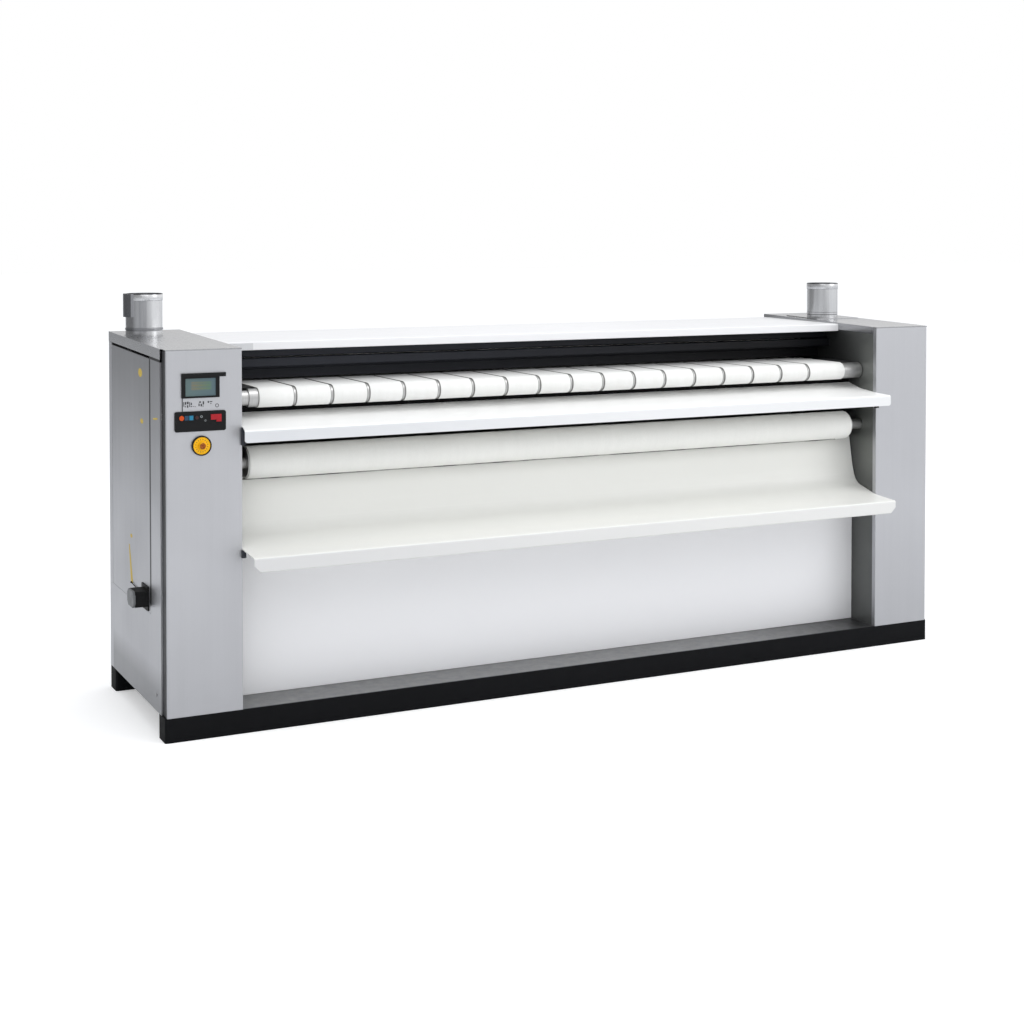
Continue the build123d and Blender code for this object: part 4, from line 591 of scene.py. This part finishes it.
# painted shade: the selvedges are dark grey, where shade falls into the gaps between bands
SELVEDGE = 0.0028
gap = BAND_PITCH - BAND_W
off = add(tree, "Math", {0: place["X"], 1: feed_low.x - gap / 2}, operation="SUBTRACT")
cell = add(tree, "Math", {0: off.outputs[0], 1: BAND_PITCH}, operation="MODULO")
inner = span(tree, cell.outputs[0], gap / 2 + SELVEDGE, gap / 2 + BAND_W - SELVEDGE, 0.0008)
edge = add(tree, "Math", {0: 0.85, 1: inner}, operation="SUBTRACT", use_clamp=True)
# the last band is wider than the others, so the pattern of edges stops before it
last = add(tree, "Math", {0: off.outputs[0], 1: (BANDS - 0.9) * BAND_PITCH}, operation="LESS_THAN")
edge = add(tree, "Math", {0: edge.outputs[0], 1: last.outputs[0]}, operation="MULTIPLY")
overlay(cotton_tape, edge.outputs[0], "#4a4945")
feed_tape = make("feed_band_tapes", tape, cotton_tape, "machine")
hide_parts("feed_bands")


# ---------------------------------------------------------------- ironing belt
# One wide endless belt of heat-proof felt runs from the return roller at the front under the
# machine's middle, up behind, over the nip roller and round the cylinder. It is needled, not
# woven, so it looks soft and slightly warm.
BELT_T = 0.003
RETURN_R = 0.0525
BELT_ROLLER_R = 0.027  # the nip roller has the same
CYLINDER_R = 0.150
belt_low, belt_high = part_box("ironing_belt")
half = CLEAR + BELT_T / 2
belt_y = belt_high.y - BELT_T - CLEAR - BELT_ROLLER_R
belt_top_z = belt_high.z - BELT_T - CLEAR - BELT_ROLLER_R
ret_y = belt_low.y + BELT_T + CLEAR + RETURN_R
ret_z = belt_low.z + BELT_T + CLEAR + RETURN_R
cyl_low, cyl_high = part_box("ironing_cylinder")
cyl_y, cyl_z = (cyl_low.y + cyl_high.y) / 2, (cyl_low.z + cyl_high.z) / 2
nip_low, nip_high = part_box("nip_roller")
belt_wheels = [
    (ret_y, ret_z, RETURN_R + half, 1),
    (belt_y, ret_z - RETURN_R + BELT_ROLLER_R, BELT_ROLLER_R + half, 1),
    (belt_y, belt_top_z, BELT_ROLLER_R + half, 1),
    ((nip_low.y + nip_high.y) / 2, (nip_low.z + nip_high.z) / 2, BELT_ROLLER_R + half, 1),
    (cyl_y, cyl_z, CYLINDER_R + half, -1),
]
felt = bmesh.new()
strap(felt, belt_wheels, BELT_T, belt_low.x, belt_high.x, 0.001)
# Felt has no threads, so the fluff does nearly all: it looks dry and matt.
needle_felt = woven("needled_belt_felt", "#efefeb", "#ebebe7", 0.006, rough=0.95, rib=0.15)
ironing_belt = make("ironing_belt_felt", felt, needle_felt, "machine")
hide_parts("ironing_belt")


# A narrow dark strip on the tray's upper edge is painted shade under the belt; paler patches
# break it up.
shade_strip_rubber, tree, skin, place = surface("patchy_shade_strip_rubber")
patchy = add(tree, "Mapping", {"Vector": place, "Scale": (9.0, 60.0, 60.0)})
ragged_patches = add(tree, "TexNoise", {"Vector": patchy.outputs[0], "Scale": 1.0, "Detail": 4.0})
cover = add(tree, "MapRange", {"Value": ragged_patches.outputs[0], "From Min": 0.42, "From Max": 0.62})
tone = add(tree, "Mix", {0: cover.outputs[0], 6: linear("#2a2a28"), 7: linear("#a9a9a4")},
           data_type="RGBA")
tree.links.new(tone.outputs[2], skin.inputs["Base Color"])
skin.inputs["Roughness"].default_value = 0.8
bump = add(tree, "Bump", {"Strength": 0.3, "Distance": 0.0005, "Height": ragged_patches.outputs[0]})
tree.links.new(bump.outputs[0], skin.inputs["Normal"])
shade_strip = bmesh.new()
brick(shade_strip, (314, 163.5, 830.5), (2843, 170.5, 835))
make("tray_shade_strip", shade_strip, shade_strip_rubber, "machine")


# ---------------------------------------------------------------- drive
# Pulleys and flange bearings are machined castings, and the belt between the pulleys is ribbed
# rubber. The gearmotor has a dull blue grey coat with a coarse peel, and the fans a zinc grey one.
cast = turned("machined_casting", "#8e9092", "#6b6d70", 0.42, 0.003)
dress(cast, "cylinder_pulley", "motor_pulley", "roller_bearings")
motor_coat = coat("blue_grey_motor_coat", "#42515f", "#37434f", 0.4, peel=0.006, dust=0.4)
dress(motor_coat, "gearmotor")
fan_coat = coat("zinc_grey_fan_coat", "#8b8d8f", "#77797c", 0.45, dust=0.3)
dress(fan_coat, "exhaust_fans")
# Ribs 2.4 mm apart run along the belt and break up its faint gleam.
rubber, tree, skin, place = surface("ribbed_rubber")
squeeze = add(tree, "Mapping", {"Vector": place, "Scale": (420.0, 30.0, 30.0)})
rib = add(tree, "TexNoise", {"Vector": squeeze.outputs[0], "Scale": 1.0, "Detail": 2.0})
tone = add(tree, "Mix", {0: rib.outputs[0], 6: linear("#101011"), 7: linear("#262627")},
           data_type="RGBA")
tree.links.new(tone.outputs[2], skin.inputs["Base Color"])
skin.inputs["Roughness"].default_value = 0.7
bump = add(tree, "Bump", {"Strength": 0.4, "Distance": 0.0005, "Height": rib.outputs[0]})
tree.links.new(bump.outputs[0], skin.inputs["Normal"])
DRIVE_T = 0.006
MOTOR_PITCH_R = 0.0483  # to the middle of the belt's thickness
CYLINDER_PITCH_R = 0.1333
drive_low, drive_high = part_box("drive_belt")
motor_low, motor_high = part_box("motor_pulley")
motor_y, motor_z = (motor_low.y + motor_high.y) / 2, (motor_low.z + motor_high.z) / 2
drive = bmesh.new()
strap(drive, [(motor_y, motor_z, MOTOR_PITCH_R, 1), (cyl_y, cyl_z, CYLINDER_PITCH_R, 1)], DRIVE_T,
      drive_low.x, drive_high.x, 0.0012)
drive_belt = make("drive_belt_ribbed", drive, rubber, "machine")
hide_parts("drive_belt")


# ---------------------------------------------------------------- electrics behind the door
# Contactors on a rail and terminals stand on a small plate, all in the even pale grey of switchgear
# mouldings. The mains inlet has a gland of darker grey nylon.
def moulded(name, colour, shade, rough):
    """Moulded plastic: an even colour, finger marks and a spark-eroded grain.

    Real grain is 0.1 mm; it is drawn 1.5 mm coarse so that it shows. Finger marks are 22 mm wide.
    """
    mat, tree, skin, place = surface(name)
    blur = add(tree, "TexNoise", {"Vector": place, "Scale": 45.0, "Detail": 4.0})
    tone = add(tree, "Mix", {0: blur.outputs[0], 6: linear(colour), 7: linear(shade)},
               data_type="RGBA")
    tree.links.new(tone.outputs[2], skin.inputs["Base Color"])
    touched = add(tree, "MapRange", {"Value": blur.outputs[0], "From Min": 0.35, "From Max": 0.65,
                                     "To Min": rough - 0.06, "To Max": rough + 0.08})
    tree.links.new(touched.outputs[0], skin.inputs["Roughness"])
    pits = add(tree, "TexNoise", {"Vector": place, "Scale": 1 / 0.0015, "Detail": 2.0})
    bump = add(tree, "Bump", {"Strength": 0.2, "Distance": 0.0001, "Height": pits.outputs[0]})
    tree.links.new(bump.outputs[0], skin.inputs["Normal"])
    return mat


switchgear = moulded("switchgear_grey", "#b9bbba", "#a6a8a8", 0.5)
dress(switchgear, "electrical_plate")
nylon = moulded("grey_nylon", "#737578", "#66686b", 0.5)
dress(nylon, "cable_gland")


# ---------------------------------------------------------------- controls
# Black moulded bezel, brow and keypad plate, with a green-grey display and small printed marks.
# The black mirrors little, so it stays deep beside the bright steel.
black = moulded("black_moulded_plastic", "#09090b", "#101113", 0.5)
black.node_tree.nodes["Principled BSDF"].inputs["Specular IOR Level"].default_value = 0.22
dress(black, "display_bezel", "keypad_plate", "estop_rim", "main_switch_base")

# Satin film over a liquid crystal display. Blurred rows of brown and green show through it and
# mean nothing; places on it are shares of its width and height.
display, tree, skin, place = surface("display_film")
face_low, face_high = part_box("display_screen")
width, height = face_high.x - face_low.x, face_high.z - face_low.z
sheet = add(tree, "Mapping", {"Vector": place, "Scale": (1 / width, 1.0, 1 / height),
                              "Location": (-face_low.x / width, 0, -face_low.z / height)})
share = add(tree, "SeparateXYZ", {0: sheet.outputs[0]}).outputs
fade = add(tree, "Mix", {0: share["X"], 6: linear("#586b6b"), 7: linear("#50636a")},
           data_type="RGBA")
rows = add(tree, "Math", {0: share["Z"], 1: 34.0}, operation="MULTIPLY")
row = add(tree, "Math", {0: rows.outputs[0]}, operation="SINE")
cells = add(tree, "Mapping", {"Vector": sheet.outputs[0], "Scale": (22.0, 1.0, 5.4)})
blur = add(tree, "TexNoise", {"Vector": cells.outputs[0], "Scale": 1.0, "Detail": 1.0})
typed = add(tree, "Math", {0: row.outputs[0], 1: blur.outputs[0]}, operation="MULTIPLY")
amount = add(tree, "MapRange", {"Value": typed.outputs[0], "From Min": 0.1, "From Max": 0.45,
                                "To Min": 0.4, "To Max": 0.75}).outputs[0]
for way, clear, full in (("X", 0.16, 0.24), ("X", 0.9, 0.8), ("Z", 0.86, 0.74), ("Z", 0.28, 0.4)):
    margin = add(tree, "MapRange", {"Value": share[way], "From Min": clear, "From Max": full},
                 interpolation_type="SMOOTHSTEP")
    amount = add(tree, "Math", {0: margin.outputs[0], 1: amount}, operation="MULTIPLY").outputs[0]
rows_colour = add(tree, "Mix", {0: share["X"], 6: linear("#86694f"), 7: linear("#4a7a52")},
                  data_type="RGBA")
printed = add(tree, "Mix", {0: amount, 6: fade.outputs[2], 7: rows_colour.outputs[2]},
              data_type="RGBA")
tree.links.new(printed.outputs[2], skin.inputs["Base Color"])
tree.links.new(printed.outputs[2], skin.inputs["Emission Color"])
skin.inputs["Emission Strength"].default_value = 0.03
skin.inputs["Roughness"].default_value = 0.35
skin.inputs["Specular IOR Level"].default_value = 0.3
dress(display, "display_screen")

# Keys, stop and handle are moulded in their colours, and finger marks keep them from gleaming.
STOP_X, STOP_Z = 126, 980  # the emergency stop's axis, in millimetres
for node, colour, shade in (
    ("orange_key", "#cf4c14", "#b8400f"),
    ("left_blue_key", "#2c4a63", "#223c52"),
    ("right_blue_key", "#2b7fa0", "#1f6a89"),
    ("brown_key", "#3f2624", "#331d1b"),
    ("red_key", "#b01f2a", "#961820"),
    ("estop_disc", "#f8bd06", "#f0b004"),
    ("estop_button", "#c06a1c", "#5f2a10"),
    ("main_switch_handle", "#77797b", "#696b6e"),
):
    plastic = moulded(node + "_plastic", colour, shade, 0.45)
    plastic.node_tree.nodes["Principled BSDF"].inputs["Specular IOR Level"].default_value = 0.25
    dress(plastic, node)
    if node == "estop_button":
        # its dome is moulded in two colours, a mottled brown eye in the yellow
        tree = plastic.node_tree
        place = add(tree, "TexCoord").outputs["Object"]
        eye = at(STOP_X, 0, STOP_Z)
        flat = add(tree, "VectorMath", {0: place, 1: (-eye.x, 0, -eye.z)}, operation="ADD")
        flat = add(tree, "VectorMath", {0: flat.outputs[0], 1: (1, 0, 1)}, operation="MULTIPLY")
        away = add(tree, "VectorMath", {0: flat.outputs[0]}, operation="LENGTH")
        speck = add(tree, "TexNoise", {"Vector": place, "Scale": 330.0, "Detail": 2.0})
        dark = add(tree, "MapRange", {"Value": speck.outputs[0], "From Min": 0.48, "From Max": 0.6})
        overlay(plastic, dark.outputs[0], "#5c260e")
        ragged = add(tree, "Math", {0: speck.outputs[0], 1: 0.006, 2: away.outputs["Value"]},
                     operation="MULTIPLY_ADD")
        rest = add(tree, "MapRange", {"Value": ragged.outputs[0], "From Min": 0.0130,
                                      "From Max": 0.0145})
        overlay(plastic, rest.outputs[0], "#f2b406")


# Plain printed signs stand under the display: small bars, squares and a ring, and two ringed lamps
# on the keypad. They mean nothing; each is ink 0.1 mm thick.
INK_T = 0.1
INK_ROOT = 0.05  # how far ink reaches into the face under it
ink = moulded("dark_grey_ink", "#2b2c2e", "#3a3b3e", 0.5)
signs = bmesh.new()
for x0, z0, x1, z1 in (
    (66, 1112, 69, 1127), (71, 1118, 76, 1127), (71, 1109, 74, 1115), (78, 1108, 83, 1116),
    (78, 1119, 84, 1128), (86, 1110, 89, 1126), (91, 1116, 95, 1124), (91, 1110, 96, 1113),
    (99, 1110, 103, 1112), (105, 1109, 108, 1111), (117, 1111, 121, 1120), (119, 1122, 126, 1127),
    (124, 1110, 129, 1119), (131, 1116, 136, 1127), (131, 1109, 134, 1113), (148, 1121, 153, 1127),
    (155, 1123, 164, 1126), (157, 1117, 161, 1120),
):
    brick(signs, (x0, -INK_T, z0), (x1, INK_ROOT, z1))


def ring(bm, x, y, z, radius, width):
    """Adds a flat printed ring that faces the front."""
    inner = radius - width
    corners = []
    for r, level in ((inner, -INK_T), (radius, -INK_T), (radius, INK_ROOT), (inner, INK_ROOT)):
        corners.append(bm.verts.new(at(x + r, y + level, z)))
    edges = [bm.edges.new((corners[i], corners[(i + 1) % 4])) for i in range(4)]
    bmesh.ops.spin(bm, geom=corners + edges, cent=at(x, y, z), axis=(0, 1, 0), dvec=(0, 0, 0),
                   angle=math.tau, steps=20, use_merge=True, use_duplicate=False)


ring(signs, 180.0, 0, 1111.0, 6.4, 2.2)
make("printed_signs", signs, ink, "machine")
lamps = bmesh.new()
plate_y = (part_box("keypad_plate")[0].y - FRONT) * 1000
ring(lamps, 125.7, plate_y, 1076.9, 4.2, 2.0)
ring(lamps, 139.2, plate_y, 1063.3, 3.2, 1.4)
pale_ink = moulded("pale_grey_ink", "#8c9192", "#7b8082", 0.5)
make("printed_lamp_rings", lamps, pale_ink, "machine")
# a ring of small brown ticks stands round the stop's button
TICKS = 16
TICKS_R = 20.5
dots = bmesh.new()
disc_y = (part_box("estop_disc")[0].y - FRONT) * 1000
for i in range(TICKS):
    a = math.tau * (i + 0.5) / TICKS
    ring(dots, STOP_X + TICKS_R * math.cos(a), disc_y, STOP_Z + TICKS_R * math.sin(a), 1.9, 1.2)
brown_ink = moulded("brown_ink", "#6b4a12", "#7d5716", 0.5)
make("printed_stop_dots", dots, brown_ink, "machine")

# Dabs of dull yellow marking paint lie beside the switch and up the door, each 0.2 mm thick.
DAB_T = 0.0002
dab = moulded("dabbed_yellow_paint", "#ccab2e", "#c6b052", 0.6)
marks = bmesh.new()
for y, z, half_y, half_z in ((312, 1203, 27, 15), (293, 1038, 20, 9), (453, 616, 15, 7)):
    oval = Matrix.Diagonal((1.0, half_y / 1000, half_z / 1000, 1.0))
    place = Matrix.Translation(at(-0.05, y, z)) @ oval @ Matrix.Rotation(math.pi / 2, 4, "Y")
    bmesh.ops.create_cone(marks, cap_ends=True, segments=20, radius1=1.0, radius2=1.0, depth=DAB_T,
                          matrix=place)
# one more dab has run down towards the switch
run = ((490, 582), (478, 582), (430, 452), (462, 450))
marks.faces.new([marks.verts.new(at(-0.15, y, z)) for y, z in run])
make("yellow_door_dabs", marks, dab, "side_door")
smear = bmesh.new()
thin = Matrix.Diagonal((1.0, 0.034, 0.0035, 1.0)) @ Matrix.Rotation(math.pi / 2, 4, "Y")
place = Matrix.Translation(at(-0.05, 108, 1064)) @ Matrix.Rotation(-0.1, 4, "X") @ thin
bmesh.ops.create_cone(smear, cap_ends=True, segments=16, radius1=1.0, radius2=1.0, depth=DAB_T,
                      matrix=place)
make("yellow_side_smear", smear, dab, "machine")

# A thin stiff rod runs back from beside the switch, and ends in a ball at the foot of the yellow
# run.
ROD_R = 0.0016
BALL_R = 0.0035
rod = bmesh.new()
ball, foot = at(-3.2, 446, 453), at(-3.2, 298, 442)
along = foot - ball
turn = along.to_track_quat("Z", "Y").to_matrix().to_4x4()
bmesh.ops.create_cone(rod, cap_ends=True, segments=10, radius1=ROD_R, radius2=ROD_R,
                      depth=along.length, matrix=Matrix.Translation((ball + foot) / 2) @ turn)
bmesh.ops.create_uvsphere(rod, u_segments=12, v_segments=8, radius=BALL_R,
                          matrix=Matrix.Translation(ball))
make("switch_rod", rod, black, "side_door")


# ---------------------------------------------------------------- exhaust spigots
# Rolled stainless tube with a lapped seam. Streaks of painted reflection run up the tube, and the
# open rim is turned in on itself.
TOP = 1.463
rim_steel = brushed("rolled_rim_steel", "#e6e7e9", "#d0d1d4", 2, 0.26, smear=0.35)
tree = rim_steel.node_tree
level = axes(tree)["Z"]
# painted shade darkens the collar on its fold on top and along its lower edge
overlay(rim_steel, span(tree, level, TOP - 0.0025, TOP + 0.007, 0.001), "#58595c")
overlay(rim_steel, span(tree, level, TOP - 0.026, TOP - 0.0242, 0.0004), "#77787b")
for side, x, y in (("left", 98, 650), ("right", 3060, 545)):
    # the wall's radii are 64 and 66 mm; the bore is painted shade and the proud lap is darker
    spigot = brushed(side + "_rolled_tube_steel", "#f0f1f2", "#c9cacd", 2, 0.22, smear=0.2)
    tree = spigot.node_tree
    place = add(tree, "TexCoord").outputs["Object"]
    axis = at(x, y, 0)
    flat = add(tree, "VectorMath", {0: place, 1: (-axis.x, -axis.y, 0)}, operation="ADD")
    flat = add(tree, "VectorMath", {0: flat.outputs[0], 1: (1, 1, 0)}, operation="MULTIPLY")
    away = add(tree, "VectorMath", {0: flat.outputs[0]}, operation="LENGTH").outputs["Value"]
    inside = add(tree, "MapRange", {"Value": away, "From Min": 0.0652, "From Max": 0.0648})
    overlay(spigot, inside.outputs[0], "#6c6d70")
    lapped = add(tree, "MapRange", {"Value": away, "From Min": 0.0664, "From Max": 0.0668})
    overlay(spigot, lapped.outputs[0], "#8e8f93")
    # painted reflection: dull streaks run up the tube
    stretched_up = add(tree, "Mapping", {"Vector": place, "Scale": (44.0, 44.0, 0.8)})
    streak = add(tree, "TexNoise", {"Vector": stretched_up.outputs[0], "Scale": 1.0, "Detail": 3.0,
                                    "Roughness": 0.6})
    reflection_streak = add(tree, "MapRange", {"Value": streak.outputs[0], "From Min": 0.5, "From Max": 0.66,
                                  "To Max": 0.4})
    overlay(spigot, reflection_streak.outputs[0], "#8d8e92")
    if side == "left":
        # painted shade darkens the tube down its left front
        facing = add(tree, "VectorMath", {0: flat.outputs[0], 1: (-0.6, -0.8, 0)},
                     operation="DOT_PRODUCT")
        side_shade = add(tree, "MapRange", {"Value": facing.outputs["Value"], "From Min": 0.042,
                                      "From Max": 0.068, "To Max": 0.6},
                   interpolation_type="SMOOTHSTEP")
        overlay(spigot, side_shade.outputs[0], "#9d9ea2")
    # painted shade: dark lines run round the tube below and above its bead
    level = add(tree, "SeparateXYZ", {0: place}).outputs["Z"]
    foot = ROOF + ROOF_RISE * y / 1000 / DEPTH
    overlay(spigot, span(tree, level, foot + 0.0125, foot + 0.0145, 0.001), "#7c7d80")
    overlay(spigot, span(tree, level, foot + 0.0225, foot + 0.0235, 0.001), "#8c8d90")
    dress(spigot, side + "_exhaust_duct")
    section = ((63.4, 1438), (67.2, 1438), (67.6, 1439), (67.6, 1461), (66.4, 1463.4),
               (64.6, 1463.4), (63.4, 1462))
    collar = bmesh.new()
    corners = [collar.verts.new(at(x + r, y, z)) for r, z in section]
    count = len(section)
    edges = [collar.edges.new((corners[i], corners[(i + 1) % count])) for i in range(count)]
    bmesh.ops.spin(collar, geom=corners + edges, cent=at(x, y, 0), axis=(0, 0, 1), dvec=(0, 0, 0),
                   angle=math.tau, steps=64, use_merge=True, use_duplicate=False)
    make(side + "_rim_collar", collar, rim_steel, "machine")
# One flat rivet goes through the left spigot's wall into the lap, and only its inner end is bare.
RIVET_R = 0.005
flattened = Matrix.Diagonal((0.6, 1, 1, 1))
rivet = bmesh.new()
bmesh.ops.create_uvsphere(rivet, u_segments=16, v_segments=8, radius=RIVET_R,
                          matrix=Matrix.Translation(at(38.5, 622.5, 1393)) @ flattened)
make("spigot_rivet", rivet, rim_steel, "machine")


# ---------------------------------------------------------------- cover screws
# Zinc plated screws with hexagon heads on the side sheets, the rear covers and the rear panels.
# They glint, a little darker than the sheets round them.
zinc = turned("zinc_plated_steel", "#c2c3c4", "#9b9c9e", 0.34, 0.001)
dress(zinc, "cover_screws")
